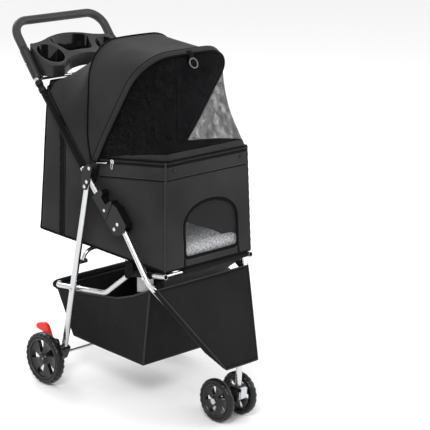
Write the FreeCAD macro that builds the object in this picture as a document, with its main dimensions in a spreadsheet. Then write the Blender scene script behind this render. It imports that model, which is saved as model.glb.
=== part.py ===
import FreeCAD, Part
import math
import os

import Sketcher
from FreeCAD import Placement, Rotation, Vector

# Folding three-point pet stroller, in millimetres.  +Z is up, the stroller rolls towards -Y,
# and the origin is on the floor under the middle of its bounding box.

os.makedirs("parts", exist_ok=True)
doc = FreeCAD.newDocument("PetStroller")
sheet = doc.addObject("Spreadsheet::Sheet", "Sizes")

SIZES = {
    # frame plane and tubes
    "frame_half_width": 172.0,
    "leg_radius": 9.0,
    "tube_radius": 8.0,
    "rail_radius": 7.0,
    "brace_radius": 5.0,
    "tube_wall": 1.2,
    "rivet_radius": 3.0,
    "running_gap": 0.08,
    # pivots of the four-bar fold: leg to handle, handle to fork, fork to rail, rail to leg
    "leg_pivot_y": 40.0,
    "leg_pivot_z": 585.0,
    "hinge_y": -81.0,
    "hinge_z": 495.0,
    "fork_pivot_y": -195.0,
    "fork_pivot_z": 389.0,
    "rail_pivot_drop": 309.5,
    "leg_lean": 10.8,
    "leg_length": 497.0,
    "rail_half_width": 155.0,
    # handle
    "handle_slope": 43.9,
    "handle_elbow": 228.0,
    "lower_tube_length": 494.0,
    "grip_slope": 49.5,
    "grip_half_width": 156.0,
    "tray_half_width": 160.0,
    "grip_reach": 174.0,
    "grip_corner": 48.0,
    "grip_cover_radius": 12.0,
    # wheels
    "rear_wheel_radius": 73.5,
    "rear_wheel_width": 28.0,
    "rear_wheel_x": 218.4,
    "rear_axle_y": 159.5,
    "front_wheel_radius": 59.5,
    "front_wheel_width": 24.0,
    "front_wheel_x": 41.4,
    "front_axle_y": -340.5,
    "caster_y": -377.0,
    "axle_radius": 4.0,
    # cabin
    "cabin_half_width": 149.5,
    "cabin_front": -249.0,
    "cabin_back": 271.0,
    "cabin_floor_z": 413.0,
    "rim_front_z": 700.0,
    "rim_back_z": 664.0,
    "cloth": 2.0,
    # canopy bows
    "bow_pivot_y": 38.0,
    "bow_pivot_z": 635.0,
    "bow_radius": 2.4,
    "bow_corner": 92.0,
    "rear_bow_half_width": 152.3,
    "rear_bow_reach": 326.5,
    "rear_bow_slope": 86.7,
    "front_bow_half_width": 157.2,
    "front_bow_reach": 368.5,
    "front_bow_slope": 120.7,
}
for row, (alias, number) in enumerate(SIZES.items(), start=1):
    sheet.set("A%d" % row, alias)
    sheet.set("B%d" % row, str(number))
    sheet.setAlias("B%d" % row, alias)
doc.recompute()


def size(alias):
    return float(sheet.get(alias))


SIDES = (("left", -1), ("right", 1))
X_AXIS = Vector(1, 0, 0)
Z_AXIS = Vector(0, 0, 1)
finished = []


def slope_point(start, degrees, distance):
    """A point at a distance from start, up a slope in the side view."""
    angle = math.radians(degrees)
    return Vector(start.x, start.y + distance * math.cos(angle), start.z + distance * math.sin(angle))


# Points of the side view that several pieces share.
leg_pivot = Vector(0, size("leg_pivot_y"), size("leg_pivot_z"))
leg_slope = -90 + size("leg_lean")
rail_pivot = slope_point(leg_pivot, leg_slope, size("rail_pivot_drop"))
leg_foot = slope_point(leg_pivot, leg_slope, size("leg_length"))
hinge = Vector(0, size("hinge_y"), size("hinge_z"))
fork_pivot = Vector(0, size("fork_pivot_y"), size("fork_pivot_z"))
tube_bend = slope_point(hinge, size("handle_slope"), size("lower_tube_length"))
bow_pin = Vector(0, size("bow_pivot_y"), size("bow_pivot_z"))
fork_slope = 51.06
rear_axle = Vector(0, size("rear_axle_y"), size("rear_wheel_radius"))
brake_pin = rear_axle + Vector(0, 10, 34)
front_axle = Vector(0, size("front_axle_y"), size("front_wheel_radius"))
lock_axis = Vector(0, size("caster_y") - 17.5, 96)


def at_x(point, x):
    return Vector(x, point.y, point.z)


def finish(obj, label):
    """Names a finished sub-part: the label is the name of its file."""
    obj.Label = label
    finished.append(obj)
    return obj


def aim(start, end):
    """A placement at start whose local Z points at end."""
    return Placement(start, Rotation(Z_AXIS, end - start))


def side_frame(point, degrees=0.0):
    """Local X up the slope, local Y square above it, local Z across the stroller towards +X."""
    angle = math.radians(degrees)
    along = Vector(0, math.cos(angle), math.sin(angle))
    above = Vector(0, -math.sin(angle), math.cos(angle))
    matrix = FreeCAD.Matrix(along.x, above.x, 1, point.x,
                            along.y, above.y, 0, point.y,
                            along.z, above.z, 0, point.z,
                            0, 0, 0, 1)
    return Placement(matrix)


def origin_plane(body, role):
    return [item for item in body.Origin.OriginFeatures if item.Role == role][0]


def new_sketch(body, name, role="XY_Plane"):
    sketch = body.newObject("Sketcher::SketchObject", name)
    sketch.AttachmentSupport = [(origin_plane(body, role), "")]
    sketch.MapMode = "FlatFace"
    return sketch


def bind(sketch, name, constraint, expression=None):
    """Adds a named constraint, driven by the sheet when an expression is given."""
    index = sketch.addConstraint(constraint)
    sketch.renameConstraint(index, name)
    if expression:
        sketch.setExpression("Constraints." + name, expression)


def add_circle(sketch, name, radius, expression=None, centre=Vector(0, 0, 0)):
    circle = sketch.addGeometry(Part.Circle(centre, Z_AXIS, radius))
    if centre.Length == 0:
        sketch.addConstraint(Sketcher.Constraint("Coincident", circle, 3, -1, 1))
    bind(sketch, name, Sketcher.Constraint("Radius", circle, radius), expression)
    return circle


def add_outline(sketch, points):
    """A closed outline through points in the sketch's plane."""
    corners = [Vector(x, y, 0) for x, y in points]
    first = sketch.GeometryCount
    for start, end in zip(corners, corners[1:] + corners[:1]):
        sketch.addGeometry(Part.LineSegment(start, end))
    count = len(corners)
    for index in range(count):
        following = first + (index + 1) % count
        sketch.addConstraint(Sketcher.Constraint("Coincident", first + index, 2, following, 1))


def pad(body, sketch, length, name="Pad", midplane=True, expression=None):
    feature = body.newObject("PartDesign::Pad", name)
    feature.Profile = sketch
    feature.Length = length
    feature.SideType = "Symmetric" if midplane else "One side"
    if expression:
        feature.setExpression("Length", expression)
    sketch.Visibility = False
    return feature


def pocket(body, sketch, length, name="Pocket"):
    """A pocket that cuts through both ways from its sketch."""
    feature = body.newObject("PartDesign::Pocket", name)
    feature.Profile = sketch
    feature.Length = length
    feature.SideType = "Symmetric"
    return feature


def round_edges(body, feature, radius, chosen, name="Fillet"):
    """Rounds the edges of a feature that chosen(edge) picks."""
    doc.recompute()
    edges = feature.Shape.Edges
    names = ["Edge%d" % (i + 1) for i, edge in enumerate(edges) if chosen(edge)]
    fillet = body.newObject("PartDesign::Fillet", name)
    fillet.Base = (feature, names)
    fillet.Radius = radius
    return fillet


def runs_along(axis):
    """Picks straight edges that run along a local axis."""
    def chosen(edge):
        if edge.Curve.TypeId != "Part::GeomLine":
            return False
        return abs(edge.Curve.Direction.dot(axis)) > 0.999
    return chosen


def ring(name, length, outer, inner=None, outer_size=None, inner_size=None, length_size=None):
    """A rod or a tube along local Z, centred on the origin."""
    body = doc.addObject("PartDesign::Body", name)
    sketch = new_sketch(body, name + "Ring")
    add_circle(sketch, "outer", outer, outer_size)
    if inner:
        add_circle(sketch, "inner", inner, inner_size)
    pad(body, sketch, length, name + "Pad", expression=length_size)
    return body


def straight_tube(name, start, end, alias, wall=True):
    """A straight round tube between two points, with its radius from the sheet."""
    outer = size(alias)
    inner = outer - size("tube_wall") if wall else None
    inner_size = "Sizes.%s - Sizes.tube_wall" % alias if wall else None
    body = ring(name, (end - start).Length, outer, inner, "Sizes." + alias, inner_size)
    body.Placement = Placement((start + end) * 0.5, Rotation(Z_AXIS, end - start))
    return body


def bent_path(points, radii):
    """Straight runs joined by tangent arcs, one radius for each inner point."""
    edges = []
    start = points[0]
    for before, corner, after, radius in zip(points, points[1:], points[2:], radii):
        into = (before - corner).normalize()
        away = (after - corner).normalize()
        half = into.getAngle(away) / 2
        reach = radius / math.tan(half)
        bisector = (into + away).normalize()
        centre = corner + bisector * (radius / math.sin(half))
        first = corner + into * reach
        last = corner + away * reach
        middle = centre - bisector * radius
        edges.append(Part.LineSegment(start, first).toShape())
        edges.append(Part.Arc(first, middle, last).toShape())
        start = last
    edges.append(Part.LineSegment(start, points[-1]).toShape())
    return Part.Wire(edges)


def swept(path, radius):
    start = path.Edges[0]
    direction = start.tangentAt(start.FirstParameter)
    profile = Part.Wire(Part.makeCircle(radius, start.valueAt(start.FirstParameter), direction))
    return path.makePipeShell([profile], True, False)


def bent_tube(name, points, radii, alias, wall=True):
    """A tube bent out of one plane, so it is swept along a wire of runs and arcs."""
    path = bent_path(points, radii)
    shape = swept(path, size(alias))
    if wall:
        shape = shape.cut(swept(path, size(alias) - size("tube_wall")))
    feature = doc.addObject("Part::Feature", name)
    feature.Shape = shape
    return feature


def solid_feature(name, shape):
    feature = doc.addObject("Part::Feature", name)
    feature.Shape = shape
    return feature


def cylinder(name, start, end, radius, alias=None):
    tool = doc.addObject("Part::Cylinder", name)
    tool.Radius = radius
    if alias:
        tool.setExpression("Radius", alias)
    tool.Height = (end - start).Length
    tool.Placement = aim(start, end)
    return tool


def box(name, low, high):
    tool = doc.addObject("Part::Box", name)
    tool.Length = high.x - low.x
    tool.Width = high.y - low.y
    tool.Height = high.z - low.z
    tool.Placement = Placement(low, Rotation())
    return tool


def fuse(name, pieces):
    result = doc.addObject("Part::MultiFuse", name)
    result.Shapes = pieces
    return result


def cut(name, base, tools):
    """Cuts one tool or several from a base."""
    result = doc.addObject("Part::Cut", name)
    result.Base = base
    result.Tool = tools[0] if len(tools) == 1 else fuse(name + "Tools", tools)
    return result


def group(name, pieces):
    """Separate solids of the same kind that share one node."""
    result = doc.addObject("Part::Compound", name)
    result.Links = pieces
    return result


def plate(name, outline, thickness, placement, corner=0.0, hole=None):
    """A flat plate cut to an outline, with rounded corners and an optional round hole."""
    body = doc.addObject("PartDesign::Body", name)
    sketch = new_sketch(body, name + "Outline")
    add_outline(sketch, outline)
    feature = pad(body, sketch, thickness, name + "Pad")
    if corner:
        round_edges(body, feature, corner, runs_along(Z_AXIS), name + "Corners")
    if hole:
        centre, radius = hole
        hole_sketch = new_sketch(body, name + "Hole")
        add_circle(hole_sketch, "hole", radius, None, Vector(centre[0], centre[1], 0))
        pocket(body, hole_sketch, thickness * 3, name + "Bore")
    body.Placement = placement
    return body


def bow_path(sketch, half_width, reach, corner, half_width_size, reach_size, corner_size):
    """Two legs and a bar joined by round corners, as one open path."""
    quarter = math.pi / 2
    left = Vector(-half_width, 0, 0)
    right = Vector(half_width, 0, 0)
    up = Vector(0, reach, 0)
    inward = Vector(corner, 0, 0)
    down = Vector(0, corner, 0)
    left_centre = Part.Circle(left + up + inward - down, Z_AXIS, corner)
    right_centre = Part.Circle(right + up - inward - down, Z_AXIS, corner)
    sketch.addGeometry(Part.LineSegment(left, left + up - down))
    sketch.addGeometry(Part.ArcOfCircle(left_centre, quarter, math.pi))
    sketch.addGeometry(Part.LineSegment(left + up + inward, right + up - inward))
    sketch.addGeometry(Part.ArcOfCircle(right_centre, 0, quarter))
    sketch.addGeometry(Part.LineSegment(right + up - down, right))
    for joint in ((0, 2, 1, 2), (1, 1, 2, 1), (2, 2, 3, 2), (3, 1, 4, 1)):
        sketch.addConstraint(Sketcher.Constraint("Tangent", *joint))
    sketch.addConstraint(Sketcher.Constraint("Vertical", 0))
    sketch.addConstraint(Sketcher.Constraint("Vertical", 4))
    sketch.addConstraint(Sketcher.Constraint("Equal", 1, 3))
    sketch.addConstraint(Sketcher.Constraint("PointOnObject", 0, 1, -1))
    sketch.addConstraint(Sketcher.Constraint("Symmetric", 0, 1, 4, 2, -2))
    span = Sketcher.Constraint("DistanceX", 0, 1, 4, 2, 2 * half_width)
    bind(sketch, "span", span, "2 * " + half_width_size)
    bind(sketch, "corner", Sketcher.Constraint("Radius", 1, corner), corner_size)
    bind(sketch, "reach", Sketcher.Constraint("DistanceY", 0, 1, 2, 1, reach), reach_size)


def arch_tube(name, half_width, reach, corner, sizes, outer, inner=None, outer_size=None):
    """A round bar or tube bent into an arch: sizes are the sheet's names for its spread."""
    body = doc.addObject("PartDesign::Body", name)
    path = new_sketch(body, name + "Path")
    bow_path(path, half_width, reach, corner, *sizes)
    profile = new_sketch(body, name + "Profile", "XZ_Plane")
    rings = [profile.addGeometry(Part.Circle(Vector(-half_width, 0, 0), Z_AXIS, outer))]
    bind(profile, "outer", Sketcher.Constraint("Radius", rings[0], outer), outer_size)
    if inner:
        rings.append(profile.addGeometry(Part.Circle(Vector(-half_width, 0, 0), Z_AXIS, inner)))
        profile.addConstraint(Sketcher.Constraint("Coincident", rings[0], 3, rings[1], 3))
        bind(profile, "inner", Sketcher.Constraint("Radius", rings[1], inner))
    profile.addConstraint(Sketcher.Constraint("PointOnObject", rings[0], 3, -1))
    side = Sketcher.Constraint("DistanceX", -1, 1, rings[0], 3, -half_width)
    bind(profile, "side", side, "-" + sizes[0])
    doc.recompute()
    pipe = body.newObject("PartDesign::AdditivePipe", name + "Pipe")
    pipe.Profile = profile
    pipe.Spine = (path, ["Edge%d" % (i + 1) for i in range(5)])
    return body


def arch_placement(point, degrees):
    """Local X across the stroller, local Y up the slope in the side view."""
    return Placement(point, Rotation(X_AXIS, degrees))


# --- rear frame -------------------------------------------------------------------------------

def make_rear_legs():
    plane_x = size("frame_half_width")
    reach = size("leg_radius") + 1
    for side, sign in SIDES:
        top = at_x(slope_point(leg_pivot, leg_slope, -5), sign * plane_x)
        foot = at_x(leg_foot, sign * plane_x)
        tube = straight_tube("RearLegTube" + side, top, foot, "leg_radius")
        holes = []
        for index, pin in enumerate((leg_pivot, rail_pivot)):
            start = at_x(pin, sign * plane_x - reach)
            end = at_x(pin, sign * plane_x + reach)
            holes.append(cylinder("LegHole%s%d" % (side, index), start, end, 3, "Sizes.rivet_radius"))
        finish(cut("RearLeg" + side, tube, holes), "rear_leg_" + side)


def make_leg_brace():
    """An arch between the legs that the cabin floor rests on."""
    inner_x = size("frame_half_width") - size("leg_radius") - 1
    foot = slope_point(leg_pivot, leg_slope, 229)
    crown = slope_point(leg_pivot, leg_slope, 195)
    wrist = 12
    points = [at_x(foot, -inner_x + wrist), at_x(crown, -inner_x + wrist),
              at_x(crown, inner_x - wrist), at_x(foot, inner_x - wrist)]
    tube = bent_tube("LegBraceTube", points, [30, 30], "brace_radius")
    studs = []
    for side, sign in SIDES:
        start = at_x(foot, sign * (inner_x - 2 * wrist))
        end = at_x(foot, sign * (inner_x + 1))
        studs.append(cylinder("BraceStud" + side, start, end, size("brace_radius") + 1.2))
    finish(fuse("LegBrace", [tube] + studs), "leg_brace")


def rivet(name, point, low_x, high_x):
    """A round rivet across the stroller with a domed head at each end."""
    radius = size("rivet_radius")
    start = at_x(point, low_x)
    end = at_x(point, high_x)
    shank = cylinder(name + "Shank", start, end, radius, "Sizes.rivet_radius")
    heads = []
    for index, (place, out) in enumerate(((start, -1), (end, 1))):
        dome = doc.addObject("Part::Sphere", "%sDome%d" % (name, index))
        dome.Radius = 7
        dome.Placement = Placement(place - Vector(out * 4.5, 0, 0), Rotation())
        keep = cylinder("%sKeep%d" % (name, index), place, place + Vector(out * 4, 0, 0), 7)
        head = doc.addObject("Part::Common", "%sHead%d" % (name, index))
        head.Base = dome
        head.Tool = keep
        heads.append(head)
    return fuse(name, [shank] + heads)


def make_leg_rivets():
    """The pins that join each leg to the handle bracket and to the rail."""
    rivets = []
    for side, sign in SIDES:
        outer = sign * 184.4
        low, high = sorted((sign * 159.8, outer))
        rivets.append(rivet("LegPin" + side, leg_pivot, low, high))
        low, high = sorted((sign * (size("rail_half_width") - 7.2), sign * 181.4))
        rivets.append(rivet("RailPin" + side, rail_pivot, low, high))
    finish(group("LegRivets", rivets), "leg_rivets")


def make_axle_blocks():
    """Black blocks that clamp the foot of each leg and hold the axle and the brake pin."""
    outline = [(-42, 30), (-24, 38), (-8, 22), (14, 16), (14, -12), (-10, -16), (-26, -4)]
    lug = [(-6, 10), (14, 10), (19, 34), (14, 42), (4, 42), (-2, 34)]
    for side, sign in SIDES:
        block = plate("AxleBlockSolid" + side, outline, 38, side_frame(at_x(rear_axle, sign * 180)), 5)
        ear = plate("BrakeLug" + side, lug, 8, side_frame(at_x(rear_axle, sign * 172)), 3)
        pin = cylinder("BrakePin" + side, at_x(brake_pin, sign * 170), at_x(brake_pin, sign * 200), 3,
                       "Sizes.rivet_radius")
        top = at_x(slope_point(leg_foot, leg_slope, -60), sign * size("frame_half_width"))
        foot = at_x(leg_foot, sign * size("frame_half_width"))
        socket = cylinder("LegSocket" + side, top, foot, 9, "Sizes.leg_radius")
        bore = cylinder("AxleBore" + side, at_x(rear_axle, sign * 150), at_x(rear_axle, sign * 210), 4,
                        "Sizes.axle_radius")
        solid = fuse("AxleBlockSet" + side, [block, ear, pin])
        finish(cut("AxleBlock" + side, solid, [socket, bore]), "axle_block_" + side)


def make_rear_axle():
    end_x = size("rear_wheel_x") + size("rear_wheel_width") / 2 - 3
    axle = straight_tube("RearAxle", at_x(rear_axle, -end_x), at_x(rear_axle, end_x), "axle_radius", False)
    finish(axle, "rear_axle")


def make_brake_pedals():
    """Red foot levers that turn on pins above the axle blocks, behind the wheels."""
    outline = [(-9, -7), (8, -9), (14, 8), (24, 26), (62, 26), (68, 34), (64, 44), (40, 50), (16, 53),
               (4, 44), (-7, 10)]
    bore = ((0, 0), size("rivet_radius") + size("running_gap"))
    for side, sign in SIDES:
        place = side_frame(at_x(brake_pin, sign * 188.5))
        finish(plate("BrakePedal" + side, outline, 22, place, 3, bore), "brake_pedal_" + side)


# --- wheels -----------------------------------------------------------------------------------

def make_wheel(kind, side, centre, radius_name, width_name, tyre, hub):
    """A moulded rim with five swept openings, and the tyre around it."""
    radius = size(radius_name)
    width = size(width_name)
    name = kind + side
    rim_radius = radius - tyre
    web = doc.addObject("PartDesign::Body", name + "Rim")
    disc = new_sketch(web, name + "Disc")
    add_circle(disc, "rim", rim_radius, "Sizes.%s - %g" % (radius_name, tyre))
    add_circle(disc, "bore", size("axle_radius") + size("running_gap"),
               "Sizes.axle_radius + Sizes.running_gap")
    pad(web, disc, width * 0.35, name + "DiscPad")
    barrel = new_sketch(web, name + "Barrel")
    add_circle(barrel, "rim", rim_radius, "Sizes.%s - %g" % (radius_name, tyre))
    add_circle(barrel, "inside", rim_radius - 4, "Sizes.%s - %g" % (radius_name, tyre + 4))
    pad(web, barrel, width - 6, name + "BarrelPad", expression="Sizes.%s - 6" % width_name)
    nave = new_sketch(web, name + "Nave")
    add_circle(nave, "hub", hub)
    add_circle(nave, "bore", size("axle_radius") + size("running_gap"),
               "Sizes.axle_radius + Sizes.running_gap")
    pad(web, nave, width - 2, name + "NavePad", expression="Sizes.%s - 2" % width_name)
    window = new_sketch(web, name + "Window")
    inner = hub + 4
    outer = rim_radius - 7
    corners = ((inner, 8), (outer - 3, 2), (outer, 24), (outer - 8, 48), (inner + 4, 40))
    add_outline(window, [(r * math.cos(math.radians(a)), r * math.sin(math.radians(a)))
                         for r, a in corners])
    opening = pocket(web, window, width * 2, name + "Opening")
    doc.recompute()
    spokes = web.newObject("PartDesign::PolarPattern", name + "Spokes")
    spokes.Originals = [opening]
    spokes.Axis = (window, ["N_Axis"])
    spokes.Angle = 360
    spokes.Occurrences = 5
    web.Tip = spokes
    web.Placement = Placement(centre, Rotation(Vector(0, 1, 0), 90))
    finish(web, "%s_rim_%s" % (kind, side))

    rubber = ring(name + "Tyre", width, radius, rim_radius, "Sizes." + radius_name,
                  "Sizes.%s - %g" % (radius_name, tyre), "Sizes." + width_name)
    doc.recompute()
    shoulder = round_edges(rubber, rubber.Tip, 5, lambda edge: edge.Length > 6.2 * (radius - 1))
    rubber.Tip = shoulder
    rubber.Placement = Placement(centre, Rotation(Vector(0, 1, 0), 90))
    finish(rubber, "%s_tyre_%s" % (kind, side))


def make_wheels():
    for side, sign in SIDES:
        centre = at_x(rear_axle, sign * size("rear_wheel_x"))
        make_wheel("rear", side, centre, "rear_wheel_radius", "rear_wheel_width", 15, 13)
        centre = at_x(front_axle, sign * size("front_wheel_x"))
        make_wheel("front", side, centre, "front_wheel_radius", "front_wheel_width", 13, 11)


# --- caster -----------------------------------------------------------------------------------

def make_caster():
    stem_y = size("caster_y")
    bore_radius = size("tube_radius") + size("running_gap")
    outline = [(-12, 103), (12, 103), (17, 84), (50, 66), (50, 50), (38, 47), (24, 52), (-12, 64)]
    place = side_frame(Vector(0, stem_y, 0))
    body = plate("CasterBlock", outline, 34, place, 4)
    ear = [(-21, 92), (-8, 90), (-8, 102), (-21, 100)]
    ears = [plate("LockEar" + side, ear, 3, place * Placement(Vector(0, 0, sign * 12), Rotation()), 1)
            for side, sign in SIDES]
    lock_pin = cylinder("LockPin", lock_axis - Vector(13, 0, 0), lock_axis + Vector(13, 0, 0), 2)
    block = fuse("CasterBody", [body, lock_pin] + ears)
    bore = cylinder("CasterBore", Vector(0, stem_y, 72), Vector(0, stem_y, 110), bore_radius,
                    "Sizes.tube_radius + Sizes.running_gap")
    axle_hole = cylinder("CasterAxleHole", at_x(front_axle, -30), at_x(front_axle, 30), 4,
                         "Sizes.axle_radius")
    finish(cut("CasterHousing", block, [bore, axle_hole]), "caster_housing")
    end_x = size("front_wheel_x") + size("front_wheel_width") / 2 + 1
    axle = straight_tube("CasterAxle", at_x(front_axle, -end_x), at_x(front_axle, end_x),
                         "axle_radius", False)
    collars = []
    for side, sign in SIDES:
        collars.append(cylinder("CasterCap" + side, at_x(front_axle, sign * end_x),
                                at_x(front_axle, sign * (end_x + 3)), 8))
        collars.append(cylinder("CasterCollar" + side, at_x(front_axle, sign * 17.1),
                                at_x(front_axle, sign * 29.9), 7))
    finish(fuse("CasterAxleSet", [axle] + collars), "caster_axle")
    lever = [(-21, 72), (-12.6, 66), (-12.6, 94), (-14, 101), (-22, 100)]
    bore = ((-17.5, 96), 2.06)
    finish(plate("CasterLock", lever, 20, place, 1.2, bore), "caster_lock")


# --- fork -------------------------------------------------------------------------------------

def fork_points():
    """Corners of the fork tube: down the slope, in to the stem, and back up the other side."""
    plane_x = size("frame_half_width")
    top = slope_point(fork_pivot, fork_slope, 166)
    knee = slope_point(fork_pivot, fork_slope, -21)
    foot = Vector(0, -364, 172)
    return [at_x(top, -plane_x), at_x(knee, -plane_x), at_x(foot, -50),
            at_x(foot, 50), at_x(knee, plane_x), at_x(top, plane_x)]


def make_fork():
    corners = [60, 34, 34, 60]
    finish(bent_tube("ForkTube", fork_points(), corners, "tube_radius"), "fork_tube")

    stem_y = size("caster_y")
    stem = ring("StemTube", 87, 8, None, "Sizes.tube_radius")
    stem.Placement = Placement(Vector(0, stem_y, 116.5), Rotation())
    clamp = box("StemClamp", Vector(-20, stem_y - 11, 150), Vector(20, stem_y + 26, 172))
    seat = bent_tube("StemClampSeat", fork_points(), corners, "tube_radius", False)
    finish(fuse("ForkStem", [stem, cut("StemClampCut", clamp, [seat])]), "fork_stem")


def hinge_frame(x):
    return side_frame(at_x(hinge, x), size("handle_slope"))


def make_hinge_caps():
    """Two cheeks on each fork tube, open behind so that the handle tube can swing out."""
    cheek = [(33, -12), (52, 42), (36, 50), (-18, 48), (-29, 28), (-22, 2), (-10, -12)]
    web = [(50, 39.5), (52, 44), (36, 50), (-18, 48), (-26, 39.5)]
    for side, sign in SIDES:
        plane_x = sign * size("frame_half_width")
        pieces = [plate("CapCheek%s%d" % (side, index), cheek, 2.5, hinge_frame(plane_x + offset), 6)
                  for index, offset in enumerate((-10.3, 10.3))]
        pieces.append(plate("CapWeb" + side, web, 19, hinge_frame(plane_x), 1.5))
        cap = fuse("CapBody" + side, pieces)
        low = at_x(hinge, plane_x - 14)
        high = at_x(hinge, plane_x + 14)
        hole = cylinder("CapHole" + side, low, high, 3, "Sizes.rivet_radius")
        start = at_x(fork_pivot, plane_x)
        end = slope_point(start, fork_slope, 166)
        fork_way = cylinder("CapForkWay" + side, start, end, 8, "Sizes.tube_radius")
        finish(cut("HingeCap" + side, cap, [hole, fork_way]), "hinge_cap_" + side)


def make_cap_rivets():
    """The pins of the hinge caps, and the rivets where the rails cross the fork."""
    fork_rivet = slope_point(fork_pivot, fork_slope, 158)
    plane_x = size("frame_half_width")
    outer = plane_x + 11.55
    rivets = []
    for side, sign in SIDES:
        low, high = sorted((sign * (plane_x - 11.55), sign * outer))
        rivets.append(rivet("HingePin" + side, hinge, low, high))
        rivets.append(cylinder("ForkRivet" + side, at_x(fork_rivet, sign * outer),
                               at_x(fork_rivet, sign * (outer + 2)), 5))
        head = cylinder("RailRivet" + side, at_x(fork_pivot, sign * (plane_x + 4)),
                        at_x(fork_pivot, sign * (plane_x + 10.2)), 5)
        start = at_x(slope_point(fork_pivot, fork_slope, -15), sign * plane_x)
        end = at_x(slope_point(fork_pivot, fork_slope, 15), sign * plane_x)
        way = cylinder("RailRivetWay" + side, start, end, 8, "Sizes.tube_radius")
        rivets.append(cut("RailRivetHead" + side, head, [way]))
    finish(group("CapRivets", rivets), "cap_rivets")


def make_front_cover():
    """A stiff fabric panel stretched between the fork's knees, in front of the tubes."""
    top = Vector(0, -232, 364)
    foot = Vector(0, -376.5, 174)
    reach = (foot - top).Length
    outline = [(0, -169), (0, 169), (reach, 64), (reach, -64)]
    along = (foot - top).normalize()
    normal = along.cross(X_AXIS)
    matrix = FreeCAD.Matrix(along.x, 1, normal.x, top.x,
                            along.y, 0, normal.y, top.y,
                            along.z, 0, normal.z, top.z,
                            0, 0, 0, 1)
    finish(plate("FrontCover", outline, size("cloth"), Placement(matrix), 4), "front_cover")


# --- handle -----------------------------------------------------------------------------------

def handle_points(sign):
    """The line of a side tube: straight past the hinge, then leaning in towards the grip."""
    plane_x = size("frame_half_width")
    start = at_x(slope_point(hinge, size("handle_slope"), -8), sign * plane_x)
    elbow = at_x(slope_point(hinge, size("handle_slope"), size("handle_elbow")), sign * plane_x)
    end = at_x(tube_bend, sign * size("tray_half_width"))
    return start, elbow, end


def make_handle_tubes():
    for side, sign in SIDES:
        start, elbow, end = handle_points(sign)
        tube = bent_tube("HandleTubeBlank" + side, [start, elbow, end], [300], "tube_radius")
        low = at_x(hinge, start.x - 12)
        high = at_x(hinge, start.x + 12)
        hole = cylinder("HandleHole" + side, low, high, 3.08, "Sizes.rivet_radius + Sizes.running_gap")
        finish(cut("HandleTube" + side, tube, [hole]), "handle_tube_" + side)


def grip_stubs(name, place, length):
    """Boxes round the two lower ends of the grip arch, to cut it short by a length."""
    stubs = []
    for side, sign in SIDES:
        stub = box(name + side, Vector(-20, -1, -20), Vector(20, length, 20))
        corner = Vector(sign * size("grip_half_width") - 20, -1, -20)
        stub.Placement = place * Placement(corner, Rotation())
        stubs.append(stub)
    return stubs


def make_grip():
    names = ("Sizes.grip_half_width", "Sizes.grip_reach", "Sizes.grip_corner")
    place = arch_placement(tube_bend, size("grip_slope"))
    spread = (size("grip_half_width"), size("grip_reach"), size("grip_corner"))
    tube = arch_tube("GripTubeBlank", *spread, names, 9, 7.6)
    tube.Placement = place
    finish(cut("GripTube", tube, grip_stubs("GripTubeEnd", place, 4)), "grip_tube")
    cover = arch_tube("GripCoverBlank", *spread, names, 12, 9.05, "Sizes.grip_cover_radius")
    cover.Placement = place
    finish(cut("GripCover", cover, grip_stubs("GripCoverEnd", place, 92)), "grip_cover")


def prism(name, outline, low, height):
    """A block that stands on a horizontal outline."""
    body = doc.addObject("PartDesign::Body", name)
    sketch = new_sketch(body, name + "Outline")
    add_outline(sketch, outline)
    pad(body, sketch, height, name + "Pad", midplane=False)
    body.Placement = Placement(Vector(0, 0, low), Rotation())
    return body


def above_slope(name, depth):
    """A slab that starts at a depth under the tray's sloping top face and goes up."""
    slab = box(name, Vector(0, 0, 0), Vector(400, 300, 120))
    slope = Placement(Vector(0, 283, 897), Rotation(X_AXIS, 25.2))
    slab.Placement = slope * Placement(Vector(-200, -150, -depth), Rotation())
    return slab


def make_cup_tray():
    """A moulded tray with two round cups and a long well, clamped on the tubes by two arms."""
    half = 146.5
    outline = [(-half, 246), (-130, 230), (-104, 227), (-78, 236), (-58, 262), (0, 270), (58, 262),
               (78, 236), (104, 227), (130, 230), (half, 246), (half, 327), (112, 330), (52, 350),
               (0, 355), (-52, 350), (-112, 330), (-half, 327)]
    slab = cut("TraySlab", prism("TrayBlank", outline, 840, 110), [above_slope("TrayUnder", 154)])
    well_wall = [(-61, 278), (61, 278), (62, 322), (50, 349), (-50, 349), (-62, 322)]
    well = [(-56, 283), (56, 283), (57, 318), (47, 343), (-47, 343), (-57, 318)]
    walls = [slab, prism("WellWall", well_wall, 866, 84)]
    hollows = [prism("TrayWell", well, 869, 90)]
    arms = []
    for side, sign in SIDES:
        cup_x = sign * 104
        walls.append(cylinder("CupWall" + side, Vector(cup_x, 280, 838.5), Vector(cup_x, 280, 949), 41))
        hollows.append(cylinder("CupHollow" + side, Vector(cup_x, 280, 841.5), Vector(cup_x, 280, 955), 38))
        arms.append(make_tray_arm(side, sign))
    trimmed = cut("TrayTrimmed", fuse("TrayWalls", walls), [above_slope("TrayTop", 0)])
    hollowed = cut("TrayHollowed", trimmed, hollows)
    finish(fuse("CupTray", [hollowed] + arms), "cup_tray")


def make_tray_arm(side, sign):
    """The socket that joins a side tube to the grip and carries one end of the tray."""
    grip_x = sign * size("grip_half_width")
    slope = size("grip_slope")
    start, elbow, end = handle_points(sign)
    foot = at_x(slope_point(tube_bend, slope, -6), grip_x)
    top = at_x(slope_point(tube_bend, slope, 90), grip_x)
    seat = at_x(slope_point(tube_bend, slope, 4), grip_x)
    above = at_x(slope_point(tube_bend, slope, 120), grip_x)
    tube_way = cylinder("TubeWay" + side, end - (end - elbow).normalize() * 60, end, 8, "Sizes.tube_radius")
    grip_way = cylinder("GripWay" + side, seat, above, 9.05)
    arm = cylinder("ArmBlank" + side, foot, top, 13.5)
    return cut("ArmSocket" + side, cut("ArmBored" + side, arm, [grip_way]), [tube_way])


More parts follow.
